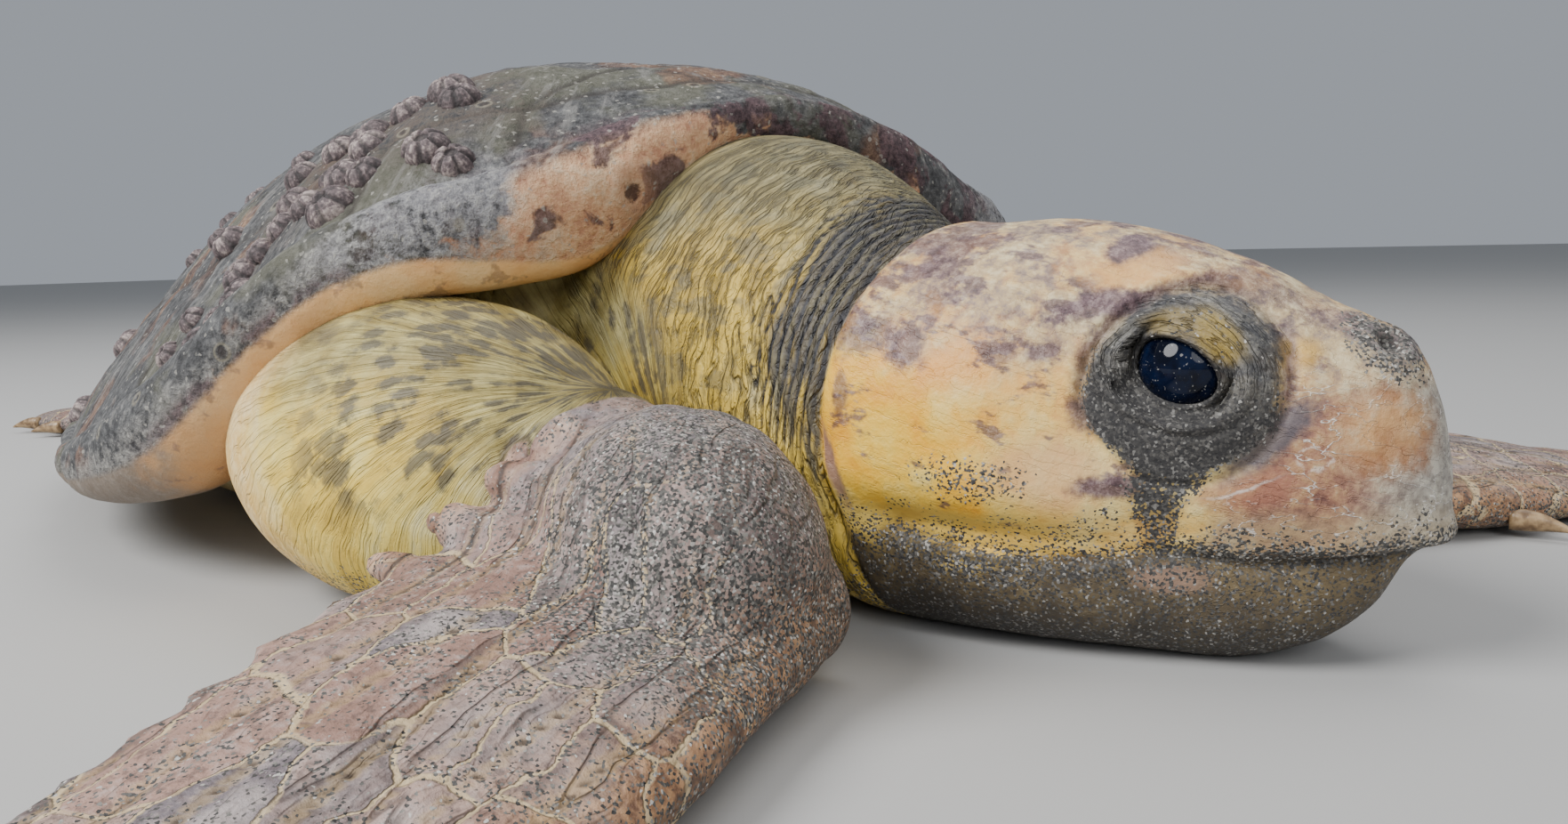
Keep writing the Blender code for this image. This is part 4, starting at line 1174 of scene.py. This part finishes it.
def patch(place, size, edge=0.35, wobble=0.9, slope=0):
    """1 in a ragged oval on the head's right side: its (x, z), half-sizes and rise in degrees."""
    ahead, above = hx - place[0], hz - place[1]
    c, s = cos(radians(slope)), sin(radians(slope))
    away = length((ahead * c + above * s) / size[0], (above * c - ahead * s) / size[1])
    away = away + sway * wobble * 2.2 + jitter * wobble
    return fall(away, 1.0 - edge, 1.0 + edge) * fall(hy, -0.02, 0.0)


# Neck: crisp wrinkles that run round it; olive at the arch, yellow in the middle, blue-grey next to
# the head, with painted shade darkening the deep folds
turn_round = angle_of(y, z - 0.11)
round_neck = pack(behind * 150.0 + drift * 7.0, turn_round * 3.0)
wrinkle = lines(round_neck, 0.045, 3)
finer = lines(pack(behind * 330.0 + sway * 6.0, turn_round * 9.0), 0.06, 2)
streaked = noise(pack(behind * 110.0 + drift * 5.0, turn_round * 2.4), 1.0, 3, 0.6)
neck = ramp(
    broad * 0.45 + streaked * 0.3 + middling * 0.25, (0.37, 0.22, 0.15, 0.026), (0.46, 0.5, 0.335, 0.042),
    (0.54, 0.7, 0.49, 0.08), (0.64, 0.8, 0.65, 0.27),
)
blotched = rise(noise(pack(behind * 42.0, turn_round * 7.0), 1.0, 3, 0.6), 0.5, 0.6)
neck = mix(
    blotched * rise(behind, 0.04, 0.075) * 0.62, neck, mix(fine, (0.06, 0.056, 0.038), (0.2, 0.18, 0.11))
)
arch = rise(z + sway * 0.06 + drift * 0.05, 0.155, 0.215)
neck = mix(
    arch * 0.85, neck,
    ramp(
        streaked * 0.6 + middling * 0.4, (0.38, 0.058, 0.054, 0.032), (0.5, 0.135, 0.126, 0.07),
        (0.62, 0.225, 0.205, 0.118),
    ),
)
pressed = fall(behind + sway * 0.016 - rise(z, 0.07, 0.15) * 0.03, -0.004, 0.034)
pressed = pressed * rise(z + sway * 0.03 + (streaked - 0.5) * 0.14, 0.055, 0.125)
pressed = rise(pressed + (streaked - 0.5) * 2.4, 0.2, 0.95)
neck = paint(
    neck,
    (
        pressed * 0.9,
        ramp(
            streaked * 0.6 + fine * 0.4, (0.38, 0.012, 0.014, 0.024), (0.49, 0.042, 0.045, 0.062),
            (0.57, 0.085, 0.082, 0.066), (0.66, 0.19, 0.175, 0.12),
        ),
    ),
    (wrinkle * 0.66, (0.055, 0.044, 0.022)),
    (finer * 0.3, (0.085, 0.07, 0.04)),
    # Painted shade in the deep folds, brown low down and blue-black higher up
    (rise(fold, 0.12, 0.62) * 0.93, mix(rise(z, 0.08, 0.13), (0.06, 0.045, 0.02), (0.01, 0.011, 0.017))),
)
by_rim = near(x + across_body * across_body * 0.9, 0.4475, 0.006)
neck = mix(by_rim * rise(z, 0.15, 0.2) * 0.6, neck, (0.52, 0.43, 0.2))
neck_height = wrinkle * -1.3 + finer * -0.4 + jitter * 0.7

# Shoulder: yellow, with dark spots drawn out from the armpit, peach at the rear and dusty below
away = vector_sum("SUBTRACT", right, tuple(ARMPIT), 0)
reach = vector_sum("LENGTH", away)
bearing = angle_of(dot(away, STREAK_UP), dot(away, STREAK_ALONG))
swirl = bearing + drift * 0.16
crease = lines(pack(swirl * 21.0, reach * 15.0), 0.04, 3)
crease_fine = lines(pack(swirl * 58.0, reach * 30.0 + middling * 2.0), 0.07, 2)
streak = noise(pack(swirl * 22.0, reach * 14.0), 1.0, 3, 0.6)
shoulder = ramp(
    broad * 0.5 + streak * 0.25 + middling * 0.25, (0.38, 0.52, 0.345, 0.045), (0.47, 0.76, 0.525, 0.075),
    (0.55, 0.84, 0.66, 0.16), (0.64, 0.86, 0.77, 0.4),
)
upper = rise(z + sway * 0.05, 0.085, 0.14)
near_pit = fall(reach + sway * 0.05, 0.03, 0.13)
shoulder = mix(
    most(upper, near_pit) * 0.76, shoulder,
    ramp(
        streak * 0.4 + middling * 0.6, (0.4, 0.085, 0.078, 0.042), (0.5, 0.2, 0.178, 0.085),
        (0.6, 0.36, 0.32, 0.15),
    ),
)
spots = cells(pack(bearing * 12.5 + sway * 1.2, reach * 62.0), 1.0)
spotted = fall(spots + jitter * 0.7 + sway * 0.6 + drift * 0.9, 0.3, 0.6)
spotted = spotted * fall(reach + drift * 0.1, 0.12, 0.175) * rise(z + sway * 0.03, 0.05, 0.08)
shoulder = mix(spotted * 0.82, shoulder, mix(fine, (0.035, 0.034, 0.032), (0.115, 0.105, 0.08)))
peach = rise(reach + sway * 0.05, 0.165, 0.215)
shoulder = paint(
    shoulder,
    (peach * 0.75, ramp(fine * 0.5 + middling * 0.5, (0.4, 0.66, 0.38, 0.13), (0.58, 0.84, 0.62, 0.34))),
    (crease * 0.24 * (1 - peach * 0.7), (0.16, 0.12, 0.045)),
    (crease_fine * 0.1 * (1 - peach * 0.7), (0.18, 0.14, 0.06)),
)
shoulder_height = crease * -0.6 + crease_fine * -0.2 + jitter * 0.5

# Fore flippers: long creases along the blade, red-brown scales with cream borders further out, and
# a dark sandy dome over the elbow
arm_at = vector_sum("SUBTRACT", right, tuple(ELBOW), 0)
run, wide = dot(arm_at, BLADE_RUN), dot(arm_at, BLADE_ACROSS)
rows = pack(run * 21.0 + drift * 1.6, wide * 38.0 + drift * 1.6 + sway * 0.5)
border = cells(rows, 1.0, "DISTANCE_TO_EDGE", "Distance", 0.85, "2D")
each = part(cells(rows, 1.0, "F1", "Color", 0.85, "2D"), 0)
worn = fall(cells(rows, 1.0, "F1", "Distance", 0.85, "2D") + jitter * 0.5, 0.12, 0.4)
out = rise(run + drift * 0.07 + sway * 0.03, 0.03, 0.085)
web = fall(border + jitter * 0.04, 0.014, 0.042)
line = web * out * rise(cloud, 0.34, 0.46)
brown = ramp(
    each + sway * 0.5, (0.1, 0.24, 0.135, 0.102), (0.35, 0.35, 0.212, 0.165), (0.55, 0.2, 0.158, 0.152),
    (0.72, 0.39, 0.262, 0.21), (0.92, 0.155, 0.128, 0.138),
)
dome = ramp(
    cloud, (0.4, 0.13, 0.095, 0.09), (0.49, 0.26, 0.18, 0.15), (0.56, 0.18, 0.165, 0.175),
    (0.64, 0.38, 0.27, 0.205),
)
blade = paint(
    dome,
    (out, brown),
    (rise(fine * 0.7 + middling * 0.3, 0.5, 0.62) * 0.45, (0.46, 0.38, 0.35)),
    (rise(0.5 - fine, 0.02, 0.14) * 0.5, (0.055, 0.035, 0.032)),
    (worn * rise(each, 0.5, 0.8) * out * 0.55, (0.5, 0.43, 0.4)),
)
along = lines(pack(run * 6.0, wide * 46.0 + drift * 1.4, z * 12.0), 0.024, 2)
along_fine = lines(pack(run * 26.0, wide * 120.0 + drift * 5.0, z * 40.0), 0.05, 2)
rust = rise(wide + sway * 0.05, 0.03, 0.08) * fall(z, 0.035, 0.075) * rise(run, -0.05, 0.02)
blade = paint(
    blade,
    (rust * 0.75, ramp(fine, (0.38, 0.16, 0.065, 0.02), (0.6, 0.48, 0.24, 0.075))),
    (along * 0.62, (0.048, 0.032, 0.026)),
    (along_fine * 0.16, (0.09, 0.065, 0.05)),
    (rise(fold + jitter * 0.3, 0.18, 0.38) * out * 0.36, (0.44, 0.3, 0.12)),
    # Painted shade in the blade's creases
    (rise(fold, 0.34, 0.6) * 0.85, (0.045, 0.028, 0.017)),
    (line * 0.84, mix(fine, (0.4, 0.28, 0.13), (0.72, 0.58, 0.36))),
)
low = fall(z, 0.098, 0.116)
lobes = fall(rear + sway * 0.03, 0.012, 0.034) * low
wave = hide.note("wave") + jitter * 0.06
gap = wave.sum("PINGPONG", wave, 0.5)
# Painted shade in the notches between the rear lobes
between = fall(gap, 0.012, 0.085) * fall(rear + sway * 0.04, 0.03, 0.075) * low
blade = paint(
    blade,
    (
        lobes * 0.62,
        ramp(
            fine * 0.4 + middling * 0.3 + gap * 0.6, (0.4, 0.24, 0.11, 0.07), (0.52, 0.44, 0.245, 0.16),
            (0.66, 0.66, 0.4, 0.25),
        ),
    ),
    # painted shade between the lobes
    (between * 0.88, (0.04, 0.024, 0.018)),
)
blade_height = line * -0.9 + along * -1.0 + along_fine * -0.3 + jitter * 1.6 + (border - 0.2) * out * 2.0

# Head: golden cheeks and a pale mottled crown, both with dark blotches
cheek = ramp(
    broad * 0.55 + middling * 0.45, (0.4, 0.8, 0.34, 0.016), (0.47, 0.86, 0.45, 0.024),
    (0.54, 0.88, 0.55, 0.06), (0.62, 0.86, 0.64, 0.17),
)
paler = rise(hx + (hz - 0.08) * 0.45 + sway * 0.08, 0.06, 0.125)
cheek = paint(
    cheek,
    (
        paler * 0.66,
        ramp(
            middling * 0.6 + fine * 0.4, (0.38, 0.66, 0.36, 0.13), (0.48, 0.79, 0.52, 0.17),
            (0.6, 0.83, 0.66, 0.3),
        ),
    ),
    (patch((0.11, 0.086), (0.026, 0.015), 0.5, 0.6) * 0.55, (0.68, 0.4, 0.23)),
    (rise(0.072 - hz + sway * 0.02, 0.0, 0.01) * fall(hx, 0.09, 0.13) * 0.7, (0.86, 0.6, 0.135)),
    (patch((0.07, 0.132), (0.045, 0.016), 0.5, 0.5) * 0.5, (0.78, 0.36, 0.1)),
)
high = rise(hz + sway * 0.06 + hx * 0.12, 0.132, 0.16)
crown = ramp(
    mottle, (0.39, 0.075, 0.062, 0.078), (0.46, 0.21, 0.17, 0.175), (0.52, 0.41, 0.3, 0.175),
    (0.6, 0.6, 0.5, 0.32),
)
crown = mix(
    rise(noise(here, 27, 4, 0.6), 0.5, 0.6) * 0.6, crown,
    ramp(fine, (0.38, 0.58, 0.27, 0.08), (0.6, 0.76, 0.48, 0.17)),
)
face = mix(high * 0.85, cheek, crown)
combed = noise(pack(hx * 38.0 + hz * 20.0, hz * 75.0, hy * 40.0), 1.0, 4, 0.62)
dusky = rise(combed + (hz - 0.165) * 1.5 + (0.06 - hx) * 0.5 * rise(hz, 0.13, 0.15), 0.49, 0.56)
dusk = ramp(
    fine * 0.7 + grit * 0.3, (0.38, 0.05, 0.025, 0.032), (0.5, 0.125, 0.072, 0.082),
    (0.62, 0.27, 0.19, 0.19),
)
face = paint(
    face,
    (dusky * 0.8, dusk),
    (patch((0.13, 0.167), (0.018, 0.007), 0.5, 0.8) * 0.7, (0.7, 0.36, 0.1)),
)
for place, size, slope, share in (
    ((0.043, 0.136), (0.011, 0.01), 0, 0.85), ((0.018, 0.142), (0.02, 0.01), 0, 0.7),
    ((0.122, 0.177), (0.007, 0.006), 0, 0.95), ((0.102, 0.135), (0.008, 0.004), 10, 0.9),
    ((0.087, 0.134), (0.007, 0.004), 0, 0.6), ((0.122, 0.153), (0.024, 0.006), 9, 0.9),
    ((0.013, 0.116), (0.004, 0.008), 0, 0.7), ((0.125, 0.111), (0.009, 0.008), 0, 0.8),
    ((0.13, 0.081), (0.013, 0.006), 0, 0.95), ((0.18, 0.158), (0.03, 0.007), -15, 0.62),
    ((0.2, 0.146), (0.014, 0.005), -12, 0.5),
):
    face = mix(patch(place, size, slope=slope) * share, face, dusk)
face = mix(patch((0.19, 0.133), (0.009, 0.006), 0.5, 0.6) * 0.75, face, (0.62, 0.36, 0.06))
scored = lines(pack(hx * 34.0 + sway * 3.0, hz * 150.0 + hx * 40.0, hy * 60.0), 0.016, 3)
face = mix(scored * rise(broad, 0.46, 0.58) * 0.14, face, (0.3, 0.2, 0.13))
beside = rise(far(hy), 0.026, 0.036)

# Beak, from pinkish brown to a grey worn tip
beak = rise(hx + (0.1 - hz) * 0.45 + sway * 0.03, 0.172, 0.192) * fall(hz + sway * 0.02, 0.116, 0.134)
beak_colour = ramp(
    mottle, (0.38, 0.13, 0.052, 0.04), (0.47, 0.28, 0.13, 0.08), (0.56, 0.42, 0.235, 0.115),
    (0.64, 0.48, 0.36, 0.21),
)
beak_colour = paint(
    beak_colour,
    (rise(hx + sway * 0.02, 0.205, 0.238) * 0.8, ramp(fine, (0.38, 0.2, 0.2, 0.18), (0.62, 0.46, 0.46, 0.4))),
    (rise(0.078 - hz + sway * 0.01, 0.0, 0.016) * 0.45, (0.46, 0.35, 0.19)),
)
scratch = lines(pack(hx * 55.0, hz * 130.0, hy * 60.0), 0.014, 3)
beak_colour = paint(
    beak_colour,
    (scratch * rise(middling, 0.44, 0.52) * 0.85, (0.76, 0.71, 0.64)),
    (
        patch((0.223, 0.104), (0.015, 0.016), 0.5, 0.8) * 0.75,
        ramp(middling, (0.4, 0.36, 0.135, 0.035), (0.6, 0.58, 0.3, 0.095)),
    ),
)
face = paint(
    face,
    (beak, beak_colour),
    (patch((0.175, 0.08), (0.02, 0.007), 0.5, 0.8, 14) * 0.6, (0.36, 0.135, 0.08)),
    (
        patch((0.184, 0.1), (0.024, 0.0065), 0.5, 0.7, 46) * 0.9,
        mix(fine, (0.03, 0.029, 0.04), (0.15, 0.13, 0.145)),
    ),
)
long_scratch = (
    near(hz - rise(hx, 0.162, 0.205) * 0.014 + jitter * 0.003, 0.0765, 0.0011) * near(hx, 0.176, 0.018)
)
ring_scratch = (
    near(length(hx - 0.2, (hz - 0.093) * 1.25) + sway * 0.016 + jitter * 0.004, 0.0065, 0.0013)
    * rise(fine, 0.42, 0.54)
)
face = mix(most(long_scratch * 0.8, ring_scratch * 0.55) * beside * 0.85, face, (0.74, 0.66, 0.6))

# Lids: dusky and wrinkled, with an amber stain above the eye and sand below it
to_opening = length(*opening_axes(hx, hz))
to_lids = length((hx - 0.1535) / 0.0355, (hz - 0.1225) / 0.0385)
lid_wobble = sway * 0.3 + jitter * 0.14
lids = fall(to_lids + lid_wobble, 0.88, 1.06) * beside
turn_round_eye = angle_of(hz - OPENING_PLACE[1], hx - OPENING_PLACE[0])
lid_lines = lines(pack(to_opening * 6.5 + sway * 1.6, turn_round_eye * 1.5), 0.06, 2)
lid_colour = ramp(
    fine * 0.4 + middling * 0.3 + grit * 0.3, (0.4, 0.026, 0.028, 0.033), (0.48, 0.062, 0.064, 0.066),
    (0.55, 0.125, 0.122, 0.112), (0.62, 0.21, 0.205, 0.2),
)
amber = most(
    patch((0.15, 0.1465), (0.012, 0.005), 0.5, 0.6) * 0.65,
    patch((0.1655, 0.142), (0.012, 0.0055), 0.5, 0.5, -48),
)
lid_colour = mix(amber * 0.85, lid_colour, mix(fine, (0.13, 0.085, 0.014), (0.44, 0.31, 0.055)))
lid_lines = lid_lines * rise(hz, 0.112, 0.134)
lid_colour = mix(lid_lines * 0.38, lid_colour, (0.03, 0.03, 0.032))
face = paint(
    face,
    (near(to_lids + lid_wobble, 1.04, 0.12) * beside * rise(hz, 0.1, 0.125) * 0.75, dusk),
    (lids * 0.96, lid_colour),
    (near(to_opening, 1.03, 0.1) * beside * 0.85, (0.016, 0.014, 0.014)),
)
low_lids = lids * fall(hz + sway * 0.012 + (hx - 0.155) * 0.25, 0.11, 0.134)
column = far(hx - 0.146 - rise(hz, 0.07, 0.098) * 0.01) + sway * 0.014 - rise(hz, 0.06, 0.102) * 0.013
column = fall(column, 0.002, 0.011) * fall(hz, 0.098, 0.108) * rise(hz, 0.04, 0.05) * beside
column = column * (0.62 + rise(hz, 0.056, 0.08) * 0.38)
under_eye = most(low_lids, column)

# Lower jaw and the sandy line of the mouth
above_mouth = hz - 0.0505 - rise(hx, 0.19, 0.25) * 0.004 + near(hx, 0.085, 0.075) * 0.006
rear_jaw = fall(hx, 0.05, 0.115)
jaw_line = above_mouth + sway * (0.006 + rear_jaw * 0.03)
jaw = fall(jaw_line, -0.0025 - rear_jaw * 0.006, 0.002 + rear_jaw * 0.007)
jaw_colour = ramp(
    middling * 0.45 + fine * 0.55, (0.38, 0.02, 0.016, 0.013), (0.47, 0.06, 0.043, 0.023),
    (0.55, 0.14, 0.098, 0.04), (0.64, 0.26, 0.2, 0.105),
)
jaw_colour = paint(
    jaw_colour,
    (0.24 + rise(hx, 0.13, 0.18) * 0.18, (0.3, 0.21, 0.085)),
    # Painted shade: the jaw darker towards its bottom, by the floor
    (fall(hz + sway * 0.02, 0.006, 0.046) * 0.75, (0.022, 0.02, 0.018)),
)
face = mix(jaw, face, jaw_colour)
lip_line = near(above_mouth + sway * 0.008, 0.0, 0.0035) * rise(hx, 0.02, 0.05)
face = mix(lip_line * 0.85, face, (0.02, 0.017, 0.016))
corner = patch((0.15, 0.041), (0.014, 0.006), 0.4, 0.4)
face = mix(corner * 0.6, face, (0.52, 0.31, 0.22))
thick = (
    near(above_mouth + sway * 0.012, -0.003, 0.016) * rise(hx, 0.0, 0.04)
    * (0.75 - rise(hx, 0.11, 0.17) * 0.35)
)
thick = most(thick, near(above_mouth + sway * 0.01, 0.002, 0.013) * rise(hx, 0.125, 0.15) * 0.85)
low_cheek = rise(0.074 - hz + sway * 0.06, 0.0, 0.03) * 0.36
face_sand = most(
    most(thick, low_cheek), most(patch((0.075, 0.082), (0.02, 0.008), 0.9, 0.5) * 0.5, under_eye * 0.93)
)
nostril = length(hx - NOSTRIL[0], far(hy) - NOSTRIL[1], hz - NOSTRIL[2])
face_sand = most(face_sand, fall(nostril + sway * 0.012, 0.009, 0.024) * 0.75)
face_sand = most(face_sand, jaw * 0.24) + lids * 0.08

# Nostrils, their holes darkened with painted shade, and the healed slit
face = paint(
    face,
    (fall(nostril, 0.008, 0.022) * 0.6, (0.12, 0.115, 0.125)),
    # Painted shade inside the nostril holes
    (fall(nostril, 0.003, 0.006) * 0.95, (0.018, 0.014, 0.014)),
)
scar = fall(length(*slit_axes(hx, hz)) + jitter * 1.5, 0.8, 2.1) * fall(hy, -0.01, 0.0)
face = mix(scar * 0.85, face, mix(fine, (0.14, 0.06, 0.06), (0.42, 0.27, 0.25)))
face_height = jitter * 0.9 + sway * 0.9 + scored * -0.15 + scratch * beak * 0.25 - lid_lines * lids * 0.9

# All zones together, then sand over them
on_head = fall(behind, -0.0012, 0.0008) * (1 - limb)
on_blade = limb * rise(rear + jitter * 0.002, -0.0006, 0.0012)
colour = paint(
    neck,
    (limb, shoulder),
    (on_head, face),
    (on_blade, blade),
    # Painted shadow: a dark line just under the rear edge of the blade, on the shoulder
    (near(rear + jitter * 0.003, -0.0012, 0.0042) * limb * low * 0.82, (0.06, 0.036, 0.02)),
)
hind_colour = mix(
    rise(sway * 0.05 - x, 0.36, 0.4), mix(broad, (0.36, 0.26, 0.09), (0.52, 0.38, 0.16)),
    mix(web * 0.8, mix((fine - 0.35) * 1.2, brown, (0.075, 0.055, 0.055)), (0.6, 0.46, 0.22)),
)
colour = mix(fall(x, -0.2, -0.1), colour, hind_colour)
dome_sand = ball(hide.at, (0.668, -0.165, 0.08), 0.15, drift * 0.1)
density = most(dome_sand * 0.66, 0.1 + rise(middling, 0.45, 0.6) * 0.2) * on_blade + face_sand * on_head
density = most(density, fall(z + sway * 0.03, 0.004, 0.042) * 0.55)
covered = rise(density - grain, 0.0, 0.05)
colour = paint(
    colour,
    (covered, sand),
    (most(under_eye * 0.64, jaw * 0.34) * on_head, (0.021, 0.02, 0.022)),
)
height = (
    neck_height * (1 - limb) * (1 - on_head) + shoulder_height * limb * (1 - on_blade)
    + face_height * on_head + blade_height * on_blade
)
height = height + covered * (grain * 0.5 + 0.25)
hide.done(colour, height, 0.6 - on_head * 0.1 - on_blade * 0.04 + density * 0.3)
skin.data.materials.clear()
skin.data.materials.append(hide.material)
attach(skin, "root")
flesh = ["head", "lower_jaw", "neck", "trunk", "tail"]
for side in ("left", "right"):
    flesh += [f"upper_arm_{side}", f"fore_flipper_{side}", f"thigh_{side}", f"hind_flipper_{side}"]
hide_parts(*flesh)


# ------------------------------------------------------------------ eyes
# Glossy dark balls with a few pale specks, one at each side of the head. Each is a sphere that sits in
# the skin's socket, under the lids, and looks outwards.
def make_eye(side, name):
    bm = bmesh.new()
    bmesh.ops.create_uvsphere(bm, u_segments=64, v_segments=40, radius=EYE_RADIUS)
    centre = from_head((EYE_PLACE[0], side * EYE_PLACE[1], EYE_PLACE[2])) + BODY
    turn = Matrix.Rotation(HEAD_TURN + side * pi / 2, 4, "Z") @ Matrix.Rotation(pi / 2, 4, "Y")
    bmesh.ops.transform(bm, matrix=Matrix.Translation(centre) @ turn, verts=bm.verts)
    obj = object_of(bm, name)
    obj.data.shade_smooth()
    return obj


wet = Finish("wet eye", 0.06)
wet.surface.inputs["Specular IOR Level"].default_value = 0.22
shade = noise(wet.at, 90, 3)
colour = ramp(shade, (0.4, 0.001, 0.002, 0.007), (0.62, 0.003, 0.008, 0.028))
colour = mix(rise(noise(wet.at, 700, 1), 0.68, 0.72) * 0.5, colour, (0.35, 0.34, 0.32))
wet.join(wet.surface.inputs["Base Color"], colour)
for side, name in ((-1, "right"), (1, "left")):
    eye = make_eye(side, f"eye_{name}_ball")
    eye.data.materials.append(wet.material)
    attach(eye, "root")
    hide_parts(f"eye_{name}")


# ------------------------------------------------------------------ claws
# Two short curved horn claws on the leading edge of each flipper. Each is a closed run of shrinking
# rings, its root sunk in the skin.
CLAW_PLACES = {"fore": (BLADE, (0.53, 0.68)), "hind": (HIND_BLADE, (0.35, 0.6))}
CLAW_LENGTH, CLAW_ROOT, CLAW_HEIGHT, CLAW_SIDES = 0.024, 0.0065, 0.011, 20


def make_claw(name, rows, along, side):
    def edge(columns, at):
        return np.array([track([(row[0], row[k]) for row in rows], at) for k in columns])

    lead, ahead, trail = edge((1, 2), along), edge((1, 2), along + 0.05), edge((3, 4), along)
    out = (lead - trail) / np.linalg.norm(lead - trail)
    tip = (ahead - lead) / np.linalg.norm(ahead - lead)
    aim = (out + 0.9 * tip) / np.linalg.norm(out + 0.9 * tip)
    sideways = np.array([-aim[1], aim[0]])
    turn = np.linspace(0, 2 * pi, CLAW_SIDES, endpoint=False)
    rings = []
    for share in np.linspace(-0.35, 1.0, 14):
        middle = lead + aim * CLAW_LENGTH * share + sideways * 0.0022 * max(share, 0) ** 2
        size = CLAW_ROOT * (1.0 - 0.86 * max(share, 0.0) ** 1.35)
        plan = middle + np.outer(size * 0.8 * np.cos(turn), sideways)
        height = CLAW_HEIGHT - 0.004 * max(share, 0) ** 2 + size * np.sin(turn)
        rings.append(np.stack([plan[:, 0], side * -plan[:, 1], height], -1))
    index = np.arange(len(rings) * CLAW_SIDES).reshape(-1, CLAW_SIDES)
    faces = quads(index, flipped=True)[:, ::side].tolist()
    faces += [index[0][::-side].tolist(), index[-1][::side].tolist()]
    return mesh_object(name, np.concatenate(rings), faces)


claw_horn = Finish("claw horn", 0.38)
grain = noise(claw_horn.at, 160, 3)
claw_horn.done(ramp(grain, (0.35, 0.13, 0.075, 0.035), (0.65, 0.4, 0.27, 0.14)), (grain - 0.5) * 0.5)
for limb_name, (rows, places) in CLAW_PLACES.items():
    for side, name in ((-1, "right"), (1, "left")):
        for number, along in enumerate(places, 1):
            node = f"claw_{limb_name}_{name}_{number}"
            claw = make_claw(node + "_horn", rows, along, side)
            claw.data.materials.append(claw_horn.material)
            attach(claw, "root")
            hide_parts(node)


# ------------------------------------------------------------------ stage
# A pale floor, a large soft key lamp high on the turtle's right, a fill lamp before it and one above,
# and a camera low down by the turtle's right fore flipper.
ground = Finish("grey floor", 0.9)
ground.join(ground.surface.inputs["Base Color"], (0.4, 0.395, 0.385))
bpy.ops.mesh.primitive_plane_add(size=30, location=(0, 0, 0))
floor = bpy.context.object
floor.name = "floor"
floor.data.materials.append(ground.material)

for name, place, size, watts in (
    ("key lamp", (-0.2, -2.6, 2.4), 2.0, 175),
    ("fill lamp", (3.0, -1.2, 1.7), 2.0, 42),
    ("top lamp", (0.2, 0.9, 3.2), 2.6, 50),
):
    lamp = bpy.data.objects.new(name, bpy.data.lights.new(name, "AREA"))
    lamp.data.shape, lamp.data.size, lamp.data.energy = "DISK", size, watts
    aim = np.array([0.2, -0.1, 0.1]) - np.array(place)
    lamp.location = place
    lamp.rotation_mode = "QUATERNION"
    lamp.rotation_quaternion = Vector(aim).to_track_quat("-Z", "Y")
    bpy.context.collection.objects.link(lamp)

world = bpy.data.worlds.new("room")
world.use_nodes = True
light = world.node_tree.nodes["Background"].inputs
light["Color"].default_value = (0.8, 0.86, 0.95, 1.0)
light["Strength"].default_value = 0.42
bpy.context.scene.world = world

CAMERA_PLACE = np.array([0.9936, -0.4412, 0.18])
CAMERA_HEADING, CAMERA_DROP, CAMERA_ROLL = radians(52), radians(8), radians(1.53)
ahead = np.array(
    [-sin(CAMERA_HEADING) * cos(CAMERA_DROP), cos(CAMERA_HEADING) * cos(CAMERA_DROP), -sin(CAMERA_DROP)],
)
level = np.array([cos(CAMERA_HEADING), sin(CAMERA_HEADING), 0.0])
over = np.cross(level, ahead)
across = level * cos(CAMERA_ROLL) - over * sin(CAMERA_ROLL)
upward = over * cos(CAMERA_ROLL) + level * sin(CAMERA_ROLL)
camera = bpy.data.objects.new("camera", bpy.data.cameras.new("camera"))
camera.data.sensor_width, camera.data.lens, camera.data.clip_start = 36.0, 26.67, 0.01
camera.matrix_world = Matrix([[*row, 0] for row in np.stack([across, upward, -ahead], 1)] + [[0, 0, 0, 1]])
camera.location = CAMERA_PLACE + BODY
bpy.context.collection.objects.link(camera)
bpy.context.scene.camera = camera
